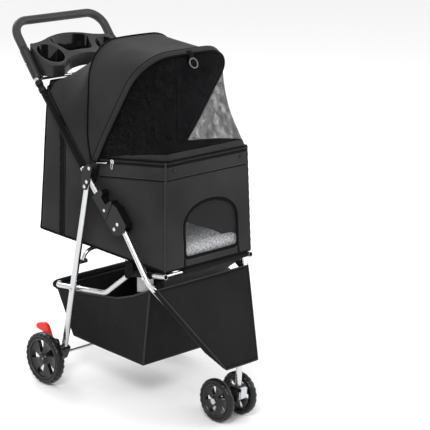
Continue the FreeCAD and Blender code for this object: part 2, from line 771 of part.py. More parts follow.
def make_tray_screws():
    screws = []
    for side, sign in SIDES:
        point = at_x(slope_point(tube_bend, size("grip_slope"), 42), sign * 171.2)
        screws.append(cylinder("TrayScrew" + side, point, point + Vector(sign * 2.2, 0, 0), 3.2))
    finish(group("TrayScrews", screws), "tray_screws")


def make_cross_rod():
    """A thin bar between the tray's sockets that the cabin's back hangs from."""
    half = size("grip_half_width") - 13.6
    rod = straight_tube("CrossRod", Vector(-half, 278, 829), Vector(half, 278, 829), "axle_radius", False)
    finish(rod, "cross_rod")


def make_tube_clips():
    """Black clips that hold the fabric on the side tubes below the tray."""
    clips = []
    for side, sign in SIDES:
        start, elbow, end = handle_points(sign)
        run = (end - elbow).normalize()
        for index, back in enumerate((44, 22)):
            middle = end - run * back
            outer = cylinder("Clip%s%d" % (side, index), middle - run * 6, middle + run * 6, 10.5)
            way = cylinder("ClipWay%s%d" % (side, index), middle - run * 8, middle + run * 8, 8,
                           "Sizes.tube_radius")
            clips.append(cut("ClipRing%s%d" % (side, index), outer, [way]))
    finish(group("TubeClips", clips), "tube_clips")


def make_brackets():
    """Each bracket is two plates, fixed to the handle tube and hinged on the leg."""
    outline = [(-10, -8), (7, -10), (14, 3), (10, 46), (-12, 64), (-27, 66), (-31, 54), (-22, 24)]
    hole = ((0, 0), size("rivet_radius") + size("running_gap"))
    for side, sign in SIDES:
        plates = []
        for index, offset in enumerate((-10.9, 10.9)):
            place = side_frame(at_x(leg_pivot, sign * size("frame_half_width") + offset))
            plates.append(plate("BracketPlate%s%d" % (side, index), outline, 2.2, place, 5, hole))
        finish(group("Bracket" + side, plates), "bracket_" + side)


def make_bracket_rivets():
    """Rivets that fix the brackets to the handle tubes, and the pins of the canopy bows."""
    tube_rivet = slope_point(hinge, size("handle_slope"), 152)
    top_rivet = leg_pivot + Vector(0, -21, 54)
    outer = size("frame_half_width") + 12
    rivets = []
    for side, sign in SIDES:
        for index, point in enumerate((tube_rivet, top_rivet)):
            start = at_x(point, sign * outer)
            rivets.append(cylinder("BracketRivet%s%d" % (side, index), start,
                                   at_x(point, sign * (outer + 2.5)), 5))
        rivets.append(cylinder("BowPin" + side, at_x(bow_pin, sign * 149.95), at_x(bow_pin, sign * 160), 2.5))
    finish(group("BracketRivets", rivets), "bracket_rivets")


def make_latches():
    """Sliding latch sleeves on the handle tubes, with two hooks and a sloping lower end."""
    outline = [(35.5, -12), (54.5, 42), (62, 44), (67, 17), (90, 17), (95, 31), (106, 30),
               (111, 13), (111, -12)]
    for side, sign in SIDES:
        plane_x = sign * size("frame_half_width")
        sleeve = plate("LatchBlank" + side, outline, 23, hinge_frame(plane_x), 3)
        start, elbow, end = handle_points(sign)
        way = cylinder("LatchWay" + side, start, elbow, 8.08, "Sizes.tube_radius + Sizes.running_gap")
        finish(cut("Latch" + side, sleeve, [way]), "latch_" + side)


# --- support rails and basket -----------------------------------------------------------------

def make_support():
    """One tube: along both rails and round the back as the rear rim of the basket."""
    rail_x = size("rail_half_width")
    back = Vector(0, 210, 263)
    first_bend = Vector(0, -19, 296)
    second_bend = Vector(0, -120, 378)
    end = Vector(0, -254, 402)
    side = [end, second_bend, first_bend, back]
    points = [at_x(point, -rail_x) for point in side]
    points += [at_x(point, rail_x) for point in reversed(side)]
    tube = bent_tube("SupportTubeBlank", points, [50, 50, 42, 42, 50, 50], "rail_radius")
    holes = []
    for name, sign in SIDES:
        start = at_x(rail_pivot, sign * (rail_x - 9))
        holes.append(cylinder("RailHole" + name, start, at_x(rail_pivot, sign * (rail_x + 9)), 3.08,
                              "Sizes.rivet_radius + Sizes.running_gap"))
    finish(cut("SupportTube", tube, holes), "support_tube")

    bar_point = Vector(0, -243, 400)
    bar = straight_tube("FrontCrossBar", at_x(bar_point, -147.8), at_x(bar_point, 147.8), "axle_radius", False)
    finish(bar, "front_cross_bar")

    spacers = []
    for name, sign in SIDES:
        inner = at_x(fork_pivot, sign * (rail_x + 7.02))
        outer = at_x(fork_pivot, sign * (rail_x + 8.6))
        spacers.append(cylinder("Spacer" + name, inner, outer, 9))
    finish(group("Spacers", spacers), "pivot_spacers")


def make_basket():
    """An open fabric box that hangs below the rails, smaller at the bottom than at the top."""
    top = [Vector(0, 198, 256), Vector(0, -182, 336)]
    floor = [Vector(0, 160, 117), Vector(0, -138, 117)]
    thickness = size("cloth")

    def ring_at(pair, half_width, inset, lift):
        back, front = pair
        low_x = half_width - inset
        corners = [Vector(-low_x, back.y - inset, back.z + lift), Vector(low_x, back.y - inset, back.z + lift),
                   Vector(low_x, front.y + inset, front.z + lift), Vector(-low_x, front.y + inset, front.z + lift)]
        return Part.makePolygon(corners + corners[:1])

    outer = Part.makeLoft([ring_at(top, 146, 0, 0), ring_at(floor, 116, 0, 0)], True, True)
    inner = Part.makeLoft([ring_at(top, 146, thickness, 1), ring_at(floor, 116, thickness, thickness)],
                          True, True)
    finish(solid_feature("Basket", outer.cut(inner)), "basket")


def make_rail_straps():
    """Webbing loops that tie the cabin floor to the rails."""
    straps = []
    for side, sign in SIDES:
        place = side_frame(Vector(sign * size("rail_half_width"), -100, 363), -39)
        outer = [(-20, -9), (20, -9), (20, 9), (-20, 9)]
        loop = plate("StrapBlank" + side, outer, 18, place, 1)
        way = cylinder("StrapWay" + side, place.multVec(Vector(-40, 0, 0)), place.multVec(Vector(40, 0, 0)), 7.2)
        straps.append(cut("Strap" + side, loop, [way]))
    finish(group("RailStraps", straps), "rail_straps")


# --- cabin ------------------------------------------------------------------------------------

def cabin_profile(inset, lift):
    """The side view of the cabin walls: floor, sloping front, rim, tube line and back."""
    front = size("cabin_front") + inset
    back = size("cabin_back") - inset
    return [(front, size("cabin_floor_z") + inset), (-232 + inset, size("rim_front_z") + lift),
            (0, size("rim_back_z") + lift), (20, 650 + lift), (60, 654 + lift), (232 - inset, 818 + lift),
            (238 - inset, 832 + lift), (back, size("cabin_floor_z") + inset)]


def make_cabin():
    half = size("cabin_half_width")
    skin = size("cloth")
    across = side_frame(Vector(0, 0, 0))
    outer = plate("CabinOuter", cabin_profile(0, 0), 2 * half, across)
    inner = plate("CabinInner", cabin_profile(skin, 3), 2 * (half - skin), across)
    window_x = 12
    arch = [(-95, 440), (95, 440), (92, 530), (70, 560), (30, 577), (-30, 577), (-70, 560), (-92, 530)]
    window = [(window_x + x, z) for x, z in arch]
    front_place = Placement(Vector(0, size("cabin_front") + 9, 0), Rotation(X_AXIS, 90))
    opening = plate("WindowOpening", window, 60, front_place)
    shell = cut("CabinShell", outer, [inner, opening])
    finish(shell, "cabin_shell")

    tilt = math.degrees(math.atan2(17, 287))
    low = size("cabin_front") + 1
    window_place = Placement(Vector(0, low, size("cabin_floor_z")), Rotation(X_AXIS, 90 - tilt))
    middle = 508
    pane = [(window_x + x * 0.985, middle + (z - middle) * 0.985 - size("cabin_floor_z")) for x, z in arch]
    finish(plate("WindowPane", pane, 0.8, window_place), "window_pane")

    floor = box("FloorBoard", Vector(-half + 4, -243, 416), Vector(half - 4, 265, 420))
    finish(floor, "floor_board")

    pad_box = box("PadBlank", Vector(-138, -236, 421), Vector(138, 256, 452))
    rounded = doc.addObject("Part::Fillet", "CushionPad")
    rounded.Base = pad_box
    rounded.Edges = [(index, 10, 10) for index in (1, 3, 5, 7)]
    finish(rounded, "cushion_pad")


def make_zipper_pull():
    """The slider and tab of the zip that runs round the cabin rim."""
    slider = box("ZipSlider", Vector(-154.2, -46, 662), Vector(-150, -34, 670))
    tab = box("ZipTab", Vector(-153, -44, 646), Vector(-151.4, -38, 663))
    finish(fuse("ZipperPull", [slider, tab]), "zipper_pull")


def make_snaps():
    snaps = []
    for side, sign in SIDES:
        start = Vector(sign * 120, -236.2, 676)
        snaps.append(cylinder("Snap" + side, start, start + Vector(0, 2.2, 0), 5))
    finish(group("RimSnaps", snaps), "rim_snaps")


# --- canopy -----------------------------------------------------------------------------------

def make_bows():
    """Two wire bows with flat eyes that turn on the bracket's inner pins."""
    for kind in ("rear", "front"):
        half = size(kind + "_bow_half_width")
        names = ["Sizes.%s_bow_half_width" % kind, "Sizes.%s_bow_reach" % kind, "Sizes.bow_corner"]
        wire = arch_tube(kind + "BowWire", half, size(kind + "_bow_reach"), size("bow_corner"), names,
                         size("bow_radius"), None, "Sizes.bow_radius")
        wire.Placement = arch_placement(bow_pin, size(kind + "_bow_slope"))
        pieces = [wire]
        holes = []
        for side, sign in SIDES:
            low, high = sorted((sign * (half - 2.3), sign * (half + 2.3)))
            pieces.append(cylinder("%sBowEye%s" % (kind, side), at_x(bow_pin, low), at_x(bow_pin, high), 6))
            holes.append(cylinder("%sBowHole%s" % (kind, side), at_x(bow_pin, low - 4),
                                  at_x(bow_pin, high + 4), 2.58))
        bow = cut(kind + "Bow", fuse(kind + "BowBody", pieces), holes)
        finish(bow, kind + "_bow")


def arch_wire(half_width, reach, corner, place, start=0.0):
    """An open arch of fabric as points at its two feet and round corners, as a wire."""
    left = Vector(-half_width, start, 0)
    right = Vector(half_width, start, 0)
    up_left = Vector(-half_width, reach, 0)
    up_right = Vector(half_width, reach, 0)
    path = bent_path([left, up_left, up_right, right], [corner, corner])
    path.Placement = place
    return path


def arch_section(half_width, reach, corner, place, start=0.0):
    """The closed section of a fabric arch, one cloth thick."""
    skin = size("cloth")
    outer = arch_wire(half_width, reach, corner, place, start)
    inner = arch_wire(half_width - skin, reach - skin, corner - skin, place, start)
    ends = [outer.Vertexes[0].Point, inner.Vertexes[0].Point]
    tails = [inner.Vertexes[-1].Point, outer.Vertexes[-1].Point]
    edges = outer.Edges + [Part.LineSegment(tails[1], tails[0]).toShape()]
    edges += list(reversed(inner.Edges)) + [Part.LineSegment(ends[1], ends[0]).toShape()]
    return Part.Wire(Part.__sortEdges__(edges))


def make_canopy():
    """Fabric over the bows: the hood, the quarter behind it, and the mesh that closes the front."""
    corner = size("bow_corner")
    half = size("front_bow_half_width") + 4.8
    lift = size("bow_radius") + 2.6 + size("cloth")
    rear_slope = size("rear_bow_slope")
    front_slope = size("front_bow_slope")
    rear_reach = size("rear_bow_reach") + lift
    front_reach = size("front_bow_reach") + lift
    seam = 0.6

    def section(slope, reach, offset, start):
        angle = math.radians(slope)
        across = Vector(0, -math.sin(angle), math.cos(angle))
        return arch_section(half, reach, corner, arch_placement(bow_pin + across * offset, slope), start)

    tail_place = arch_placement(Vector(0, 228, 695), 90)
    tail = arch_section(size("cabin_half_width") + 2.6, 139, 12, tail_place, 126)
    quarter = Part.makeLoft([section(rear_slope, rear_reach, -seam, 24), tail], True, True)
    finish(solid_feature("CanopyRear", quarter), "canopy_rear")
    hood = [section(rear_slope, rear_reach, seam, 24), section(front_slope, front_reach, -seam, 18)]
    finish(solid_feature("CanopyHood", Part.makeLoft(hood, True, True)), "canopy_hood")
    rim = arch_section(146, 16, 8, arch_placement(Vector(0, -236, 702), 110), 2)
    net = Part.makeLoft([section(front_slope, front_reach, seam, 42), rim], True, True)
    finish(solid_feature("MeshFront", net), "mesh_front")


def make_hook_ring():
    """The ring on the edge of the hood that holds the rolled-up mesh."""
    hook = doc.addObject("Part::Torus", "HookRing")
    hook.Radius1 = 13
    hook.Radius2 = 1.6
    hook.Placement = Placement(Vector(0, -174, 930), Rotation(X_AXIS, 62))
    finish(hook, "hook_ring")


make_rear_legs()
make_leg_brace()
make_leg_rivets()
make_axle_blocks()
make_rear_axle()
make_brake_pedals()
make_wheels()
make_caster()
make_fork()
make_hinge_caps()
make_cap_rivets()
make_front_cover()
make_handle_tubes()
make_grip()
make_cup_tray()
make_tray_screws()
make_cross_rod()
make_tube_clips()
make_brackets()
make_bracket_rivets()
make_latches()
make_support()
make_basket()
make_rail_straps()
make_cabin()
make_zipper_pull()
make_snaps()
make_bows()
make_canopy()
make_hook_ring()
doc.recompute()


def check_document():
    """Stops before anything is written if an object has failed."""
    for obj in doc.Objects:
        if "Invalid" in obj.State or "Error" in obj.State:
            raise RuntimeError("%s failed: %s" % (obj.Name, obj.State))
    for obj in finished:
        if obj.Shape.isNull() or not obj.Shape.isValid() or not obj.Shape.Solids:
            raise RuntimeError("%s has no valid solid" % obj.Label)
    labels = [obj.Label for obj in finished]
    if len(set(labels)) != len(labels):
        raise RuntimeError("two sub-parts share a name")


check_document()
for obj in finished:
    obj.Shape.exportStep("parts/%s.step" % obj.Label)
print("%d sub-parts" % len(finished))
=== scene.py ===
import math
from contextlib import contextmanager

import bmesh
import bpy
from mathutils import Matrix, Vector, noise


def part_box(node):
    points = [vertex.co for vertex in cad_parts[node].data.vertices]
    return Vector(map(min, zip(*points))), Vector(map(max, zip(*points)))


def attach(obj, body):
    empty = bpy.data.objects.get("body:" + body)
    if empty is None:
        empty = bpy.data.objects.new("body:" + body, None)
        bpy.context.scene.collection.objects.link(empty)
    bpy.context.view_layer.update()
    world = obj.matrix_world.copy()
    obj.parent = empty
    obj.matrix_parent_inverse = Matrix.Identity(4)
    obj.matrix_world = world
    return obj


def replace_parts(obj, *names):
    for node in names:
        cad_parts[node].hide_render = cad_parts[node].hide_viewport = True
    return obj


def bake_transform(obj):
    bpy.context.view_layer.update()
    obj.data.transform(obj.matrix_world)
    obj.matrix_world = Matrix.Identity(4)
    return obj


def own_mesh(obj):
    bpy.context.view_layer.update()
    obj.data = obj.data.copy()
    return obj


# Pet stroller. Pieces are laid out in millimetres and metres() turns them into the frame's metres.
# The camera, the studio floor and the lights are in metres throughout.

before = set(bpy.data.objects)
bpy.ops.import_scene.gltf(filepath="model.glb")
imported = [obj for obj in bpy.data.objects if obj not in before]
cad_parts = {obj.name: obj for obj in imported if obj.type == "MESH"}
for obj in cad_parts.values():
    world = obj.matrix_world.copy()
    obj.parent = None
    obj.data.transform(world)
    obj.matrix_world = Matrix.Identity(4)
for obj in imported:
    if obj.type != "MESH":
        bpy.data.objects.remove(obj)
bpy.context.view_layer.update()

SIDES = (("left", -1), ("right", 1))
TUBE_SLOPE = math.tan(math.radians(43.9))
HINGE_Y, HINGE_Z = -81.0, 495.0
BEND = Vector((0, 275, 838))
GRIP_SLOPE = math.radians(49.5)
BOW_PIN = Vector((0, 38, 635))
REAR_SLOPE = math.radians(86.7)
FRONT_SLOPE = math.radians(120.7)
FLOOR_Z = 413.0

# where the cabin's walls stand: their height, and places along the stroller at the foot and at the top
RIM_Z = 700
RIM_FRONT_Y = -232
RIM_BACK_Y = 20
RIM_BACK_Z = 662.0
FRONT_FOOT_Y = -249.0
BACK_FOOT_Y = 270.0
BACK_BEND_Y, BACK_BEND_Z = 254.0, 637
BACK_TOP_Y, BACK_TOP_Z = 239.0, 833
WINDOW_MIDDLE_Z = 505
BAND_DROP = 49
BAND_BACK_Y, BAND_CORNER_Y = 14.0, -230.0
STRAP_Y = 171.0
WINDOW_X = 14.0
RAIL_X = 155
CUP_X, CUP_Y = 104, 280
SPOKES = 5


def metres(point):
    return Vector(point) * 0.001


def lerp(a, b, share):
    return a + (b - a) * share


def clamp(value):
    return max(0.0, min(1.0, value))


def smooth(value):
    value = clamp(value)
    return value * value * (3 - 2 * value)


def shares(count):
    """Even shares from 0 to 1, in a given number of steps."""
    return [k / count for k in range(count + 1)]


def hump(share):
    """0 at both ends of a stretch and 1 half way."""
    return math.sin(math.pi * share)


def ripple(point, size, seed=0.0):
    """Smooth noise from -1 to 1 at a place in millimetres."""
    return noise.noise(Vector(point) / size + Vector((seed, seed * 1.7, -seed)))


# --- camera, floor and light --------------------------------------------------------------------

CAMERA_ANGLES = (-44.67, 16.36, 1.77)
CAMERA_DISTANCE = 4.87986
CAMERA_TARGET = (0.30383, 0.038, 0.41732)
CAMERA_LENS = 142.58
FLOOR_REACH = 14
SKY_STRENGTH = 0.95
LIGHTS = {
    # name: place, aim, size, power
    "KeyLight": ((-2.6, -2.2, 3.2), (0, 0, 0.5), 1.6, 95),
    "FillLight": ((2.8, -2.4, 2.2), (0, 0, 0.5), 2.2, 45),
    "RimLight": ((0.6, 3.2, 2.6), (0, 0, 0.6), 1.8, 50),
}


def link_object(name, data):
    made = bpy.data.objects.new(name, data)
    bpy.context.collection.objects.link(made)
    return made


def make_camera():
    azimuth, elevation, roll = (math.radians(a) for a in CAMERA_ANGLES)
    level = Vector((math.cos(azimuth), math.sin(azimuth), 0))
    back = Vector((math.sin(azimuth) * math.cos(elevation), -math.cos(azimuth) * math.cos(elevation),
                   math.sin(elevation)))
    above = back.cross(level)
    right = level * math.cos(roll) + above * math.sin(roll)
    up = above * math.cos(roll) - level * math.sin(roll)
    data = bpy.data.cameras.new("Camera")
    data.lens = CAMERA_LENS
    data.sensor_width = 36
    data.clip_end = 60
    camera = link_object("Camera", data)
    turn = Matrix((right, up, back)).transposed().to_4x4()
    camera.matrix_world = Matrix.Translation(Vector(CAMERA_TARGET) + back * CAMERA_DISTANCE) @ turn
    bpy.context.scene.camera = camera


def make_lights():
    for name, (place, aim, size, power) in LIGHTS.items():
        data = bpy.data.lights.new(name, "AREA")
        data.shape = "DISK"
        data.size = size
        data.energy = power
        light = link_object(name, data)
        light.location = place
        light.rotation_mode = "QUATERNION"
        light.rotation_quaternion = (Vector(aim) - Vector(place)).to_track_quat("-Z", "Y")


def make_stage():
    mesh = bpy.data.meshes.new("StudioFloor")
    reach = FLOOR_REACH
    mesh.from_pydata([(-reach, -reach, 0), (reach, -reach, 0), (reach, reach, 0), (-reach, reach, 0)], [],
                     [(0, 1, 2, 3)])
    floor = link_object("StudioFloor", mesh)
    material = bpy.data.materials.new("studio_floor")
    material.use_nodes = True
    shader = material.node_tree.nodes["Principled BSDF"]
    shader.inputs["Base Color"].default_value = (0.93, 0.93, 0.93, 1)
    shader.inputs["Roughness"].default_value = 0.9
    mesh.materials.append(material)
    world = bpy.data.worlds.new("Studio")
    world.use_nodes = True
    sky = world.node_tree.nodes["Background"]
    sky.inputs["Color"].default_value = (1, 1, 1, 1)
    sky.inputs["Strength"].default_value = SKY_STRENGTH
    bpy.context.scene.world = world
    bpy.context.scene.view_settings.view_transform = "Standard"
    make_lights()


# --- materials ----------------------------------------------------------------------------------

MESH_PITCH = 0.0030


class Nodes:
    """Short calls to build one material's nodes."""

    def __init__(self, name):
        self.material = bpy.data.materials.new(name)
        self.material.use_nodes = True
        self.tree = self.material.node_tree
        self.shader = self.tree.nodes["Principled BSDF"]
        self.last_bump = None

    def add(self, kind, **values):
        node = self.tree.nodes.new(kind)
        for key, value in values.items():
            if hasattr(node, key):
                setattr(node, key, value)
            else:
                node.inputs[key].default_value = value
        return node

    def link(self, out, into):
        self.tree.links.new(out, into)

    def set(self, **values):
        for key, value in values.items():
            self.shader.inputs[key.replace("_", " ")].default_value = value

    def coordinates(self, kind="Object"):
        return self.add("ShaderNodeTexCoord").outputs[kind]

    def noise(self, scale, detail=3.0):
        node = self.add("ShaderNodeTexNoise", Scale=scale, Detail=detail)
        self.link(self.coordinates(), node.inputs["Vector"])
        return node.outputs["Fac"]

    def colour(self, low, high, source):
        ramp = self.add("ShaderNodeValToRGB")
        for element, position, tint in zip(ramp.color_ramp.elements, (0.35, 0.65), (low, high)):
            element.position = position
            element.color = (*tint, 1)
        self.link(source, ramp.inputs["Fac"])
        self.link(ramp.outputs["Color"], self.shader.inputs["Base Color"])

    def roughness(self, low, high, source):
        span = self.add("ShaderNodeMapRange")
        span.inputs["To Min"].default_value = low
        span.inputs["To Max"].default_value = high
        self.link(source, span.inputs["Value"])
        self.link(span.outputs["Result"], self.shader.inputs["Roughness"])

    def bump(self, height, strength, distance):
        node = self.add("ShaderNodeBump", Strength=strength, Distance=distance)
        self.link(height, node.inputs["Height"])
        if self.last_bump:
            self.link(self.last_bump, node.inputs["Normal"])
        self.last_bump = node.outputs["Normal"]
        self.link(self.last_bump, self.shader.inputs["Normal"])

    def math(self, operation, first, second):
        node = self.add("ShaderNodeMath", operation=operation)
        for index, value in enumerate((first, second)):
            if isinstance(value, (int, float)):
                node.inputs[index].default_value = value
            else:
                self.link(value, node.inputs[index])
        return node.outputs["Value"]

    def weave(self, pitch):
        """Over-and-under threads from the piece's own UV map, which is laid out in metres."""
        split = self.add("ShaderNodeSeparateXYZ")
        self.link(self.coordinates("UV"), split.inputs["Vector"])
        waves = []
        for axis in ("X", "Y"):
            turned = self.math("MULTIPLY", split.outputs[axis], 2 * math.pi / pitch)
            waves.append(self.math("SINE", turned, 0.0))
        return self.math("MULTIPLY", waves[0], waves[1])


def fabric_material(name, dark, light, pitch=0.0016, roughness=0.82, sheen=0.04, weave=0.35,
                    gloss=0.18):
    m = Nodes(name)
    m.set(Sheen_Weight=sheen, Sheen_Roughness=0.45, Specular_IOR_Level=gloss)
    m.colour(dark, light, m.noise(5.0, 4.0))
    m.roughness(roughness - 0.08, roughness + 0.08, m.noise(40.0))
    m.bump(m.noise(16.0, 3.0), 0.34, 0.005)
    m.bump(m.weave(pitch), weave, 0.0003)
    m.bump(m.noise(700.0, 2.0), 0.12, 0.0003)
    return m.material


def mesh_material(name, cover):
    """Knitted mesh: open holes between threads, from the piece's own UV map in metres."""
    m = Nodes(name)
    m.set(Roughness=0.8, Specular_IOR_Level=0.08)
    m.colour((0.005, 0.005, 0.006), (0.009, 0.009, 0.010), m.noise(9.0))
    threads = m.add("ShaderNodeMapRange")
    span = {"From Min": -0.2, "From Max": 0.3, "To Min": cover + 0.33, "To Max": cover - 0.12}
    for key, value in span.items():
        threads.inputs[key].default_value = value
    m.link(m.weave(MESH_PITCH), threads.inputs["Value"])
    folds = m.math("MULTIPLY", m.math("SUBTRACT", m.noise(48.0, 5.0), 0.5), 0.75)
    m.link(m.math("ADD", threads.outputs["Result"], folds), m.shader.inputs["Alpha"])
    m.bump(m.noise(12.0), 0.3, 0.004)
    return m.material


def metal_material(name, colour, roughness):
    m = Nodes(name)
    m.set(Metallic=1.0)
    low = tuple(c * 0.94 for c in colour)
    m.colour(low, colour, m.noise(30.0))
    m.roughness(roughness * 0.8, roughness * 1.25, m.noise(60.0, 4.0))
    m.bump(m.noise(900.0, 2.0), 0.03, 0.0002)
    return m.material


def plastic_material(name, colour, roughness, grain=0.06, coat=0.0):
    m = Nodes(name)
    m.set(Coat_Weight=coat, Coat_Roughness=0.08, Specular_IOR_Level=0.26)
    low = tuple(c * 0.85 for c in colour)
    m.colour(low, colour, m.noise(18.0))
    m.roughness(roughness * 0.85, roughness * 1.2, m.noise(50.0))
    m.bump(m.noise(1300.0, 2.0), grain, 0.0002)
    return m.material


def rubber_material(name, colour, roughness, scale, strength):
    """Soft foam or tyre rubber with a fine pebbled skin."""
    m = Nodes(name)
    m.set(Specular_IOR_Level=0.3)
    m.colour(tuple(c * 0.8 for c in colour), colour, m.noise(14.0))
    m.roughness(roughness - 0.06, roughness + 0.08, m.noise(35.0))
    cells = m.add("ShaderNodeTexVoronoi", Scale=scale)
    m.link(m.coordinates(), cells.inputs["Vector"])
    m.bump(cells.outputs["Distance"], strength, 0.0004)
    return m.material


def plush_material(name):
    m = Nodes(name)
    m.set(Sheen_Weight=0.3, Sheen_Roughness=0.6, Specular_IOR_Level=0.1)
    m.colour((0.20, 0.205, 0.215), (0.70, 0.71, 0.73), m.noise(190.0, 7.0))
    m.set(Roughness=0.95)
    m.bump(m.noise(330.0, 5.0), 0.9, 0.004)
    m.bump(m.noise(40.0, 3.0), 0.5, 0.006)
    return m.material


def vinyl_material(name):
    m = Nodes(name)
    m.set(Base_Color=(0.08, 0.08, 0.085, 1), Roughness=0.07, Alpha=0.10, Specular_IOR_Level=0.3)
    m.bump(m.noise(9.0, 2.0), 0.12, 0.01)
    return m.material


def make_materials():
    return {
        "fabric": fabric_material("polyester_black", (0.0085, 0.0085, 0.009), (0.021, 0.021, 0.022)),
        # darker copy of the black fabric for the basket and fork cover: painted shade, as they sit under
        # the cabin
        "fabric_painted_under_shade": fabric_material("black_fabric_painted_under_shade", (0.0040, 0.0040, 0.0045), (0.0065, 0.0065, 0.007),
                                0.0013, 0.7, 0.01, 0.25, 0.14),
        # darker copy of the black fabric for sleeves, bows and the floor board: painted shade on
        # tucked-away pieces
        "fabric_painted_shade": fabric_material("black_fabric_painted_shade", (0.0035, 0.0035, 0.004), (0.006, 0.006, 0.0065),
                                  gloss=0.08),
        "strip": fabric_material("webbing_black", (0.003, 0.003, 0.0035), (0.006, 0.006, 0.0065),
                                 0.0022, 0.75, 0.0, 0.6, 0.05),
        "piping": fabric_material("piping_black", (0.0015, 0.0015, 0.002), (0.003, 0.003, 0.0035),
                                  0.002, 0.6, 0.0, 0.2, 0.05),
        # lighter, glossier copy of the black piping: the lighter colour is a painted highlight along edges,
        # the gloss is real shine
        "piping_painted_highlight": fabric_material("black_piping_painted_highlight", (0.007, 0.007, 0.008), (0.012, 0.012, 0.013),
                                0.002, 0.5, 0.03, 0.2, 0.3),
        "label": fabric_material("blank_label", (0.40, 0.40, 0.41), (0.46, 0.46, 0.47),
                                 0.001, 0.8, 0.0, 0.1),
        "thread": fabric_material("thread_grey", (0.045, 0.045, 0.045), (0.07, 0.07, 0.07),
                                  0.001, 0.6, 0.1, 0.1),
        "mesh": mesh_material("knitted_mesh", 0.25),
        "tube": metal_material("silver_tube", (0.60, 0.61, 0.62), 0.24),
        "chrome": metal_material("bright_chrome", (0.62, 0.62, 0.64), 0.12),
        "rivet": metal_material("zinc_rivet", (0.62, 0.62, 0.63), 0.2),
        "ring": metal_material("dull_ring", (0.16, 0.16, 0.17), 0.3),
        "plastic": plastic_material("moulded_black", (0.004, 0.004, 0.005), 0.34),
        "tray": plastic_material("tray_black", (0.017, 0.017, 0.018), 0.36, 0.05, 0.1),
        # glossy black for the insides of the cups and the well, darker than the deck: painted shade in the
        # hollows, with real shine
        "gloss": plastic_material("cup_gloss_black_painted_shade", (0.004, 0.004, 0.005), 0.09, 0.0, 0.6),
        "wheel": plastic_material("wheel_black", (0.008, 0.008, 0.009), 0.24, 0.05, 0.15),
        "tyre": rubber_material("tyre_black", (0.006, 0.006, 0.007), 0.32, 900.0, 0.15),
        "grip": rubber_material("grip_foam", (0.030, 0.030, 0.032), 0.46, 1400.0, 0.25),
        "red": plastic_material("brake_red", (0.80, 0.022, 0.012), 0.33, 0.05, 0.2),
        "grey": plastic_material("lever_grey", (0.52, 0.53, 0.55), 0.4),
        "plush": plush_material("plush_grey"),
        "vinyl": vinyl_material("clear_vinyl"),
    }


# --- mesh helpers -------------------------------------------------------------------------------

def new_mesh(name, points, faces):
    mesh = bpy.data.meshes.new(name)
    mesh.from_pydata(points, [], faces)
    return mesh


@contextmanager
def edited(mesh):
    """Lends a mesh out for editing and then points all its faces outward."""
    work = bmesh.new()
    work.from_mesh(mesh)
    yield work
    bmesh.ops.recalc_face_normals(work, faces=work.faces)
    work.to_mesh(mesh)
    work.free()


def add_object(name, mesh, material):
    mesh.materials.append(MATERIALS[material])
    mesh.shade_smooth()
    return link_object(name, mesh)


def set_creases(piece, angle):
    """Keeps hard edges crisp on a smooth-shaded piece."""
    piece.data.set_sharp_from_angle(angle=math.radians(angle))


def cloth_surface(name, rows, material, thickness, closed=False):
    """A sheet through rows of points in millimetres, with UVs in metres and a real thickness."""
    count = len(rows[0])
    points = [metres(p) for row in rows for p in row]
    faces = []
    corners = []
    across = count if closed else count - 1
    lengths_u = [0.0]
    middle = rows[len(rows) // 2]
    for a, b in zip(middle, middle[1:] + middle[:1]):
        lengths_u.append(lengths_u[-1] + (Vector(b) - Vector(a)).length * 0.001)
    lengths_v = [0.0]
    for a, b in zip(rows, rows[1:]):
        step = max((Vector(b[i]) - Vector(a[i])).length for i in range(0, count, max(1, count // 8)))
        lengths_v.append(lengths_v[-1] + step * 0.001)
    for j in range(len(rows) - 1):
        for i in range(across):
            k = (i + 1) % count
            faces.append((j * count + i, j * count + k, (j + 1) * count + k, (j + 1) * count + i))
            corners.extend(((lengths_u[i], lengths_v[j]), (lengths_u[i + 1], lengths_v[j]),
                            (lengths_u[i + 1], lengths_v[j + 1]), (lengths_u[i], lengths_v[j + 1])))
    mesh = new_mesh(name, points, faces)
    layer = mesh.uv_layers.new(name="UVMap")
    for loop, corner in zip(layer.data, corners):
        loop.uv = corner
    piece = add_object(name, mesh, material)
    if thickness:
        solid = piece.modifiers.new("Cloth thickness", "SOLIDIFY")
        solid.thickness = thickness * 0.001
        solid.offset = 1.0
    return piece


def along(points):
    """Points with the frames of a sweep: (point, side, up) for each, carried along without twist."""
    points = [Vector(p) for p in points]
    frames = []
    tangent = (points[1] - points[0]).normalized()
    side = tangent.orthogonal().normalized()
    for index, point in enumerate(points):
        before = points[max(0, index - 1)]
        after = points[min(len(points) - 1, index + 1)]
        ahead = (after - before).normalized()
        turn = tangent.rotation_difference(ahead)
        side = (turn @ side).normalized()
        tangent = ahead
        frames.append((point, side, tangent.cross(side).normalized()))
    return frames


def cord_tube(name, points, radius, material, segments=10, squeeze=1.0, swell=None):
    """A round or oval tube through points in millimetres, for piping, seams and sleeves."""
    rows = []
    count = len(points)
    for index, (point, side, up) in enumerate(along(points)):
        size = radius * (swell(index / (count - 1)) if swell else 1.0)
        ring = []
        for k in range(segments):
            a = 2 * math.pi * k / segments
            ring.append(point + side * math.cos(a) * size + up * math.sin(a) * size * squeeze)
        rows.append(ring)
    return closed_sweep(name, rows, material)


def closed_sweep(name, rows, material):
    """A tube through rings of points, with a flat face on each end."""
    piece = cloth_surface(name, rows, material, 0, True)
    segments = len(rows[0])
    with edited(piece.data) as work:
        work.verts.ensure_lookup_table()
        work.faces.new([work.verts[i] for i in reversed(range(segments))])
        last = len(work.verts) - segments
        work.faces.new([work.verts[last + i] for i in range(segments)])
    return piece


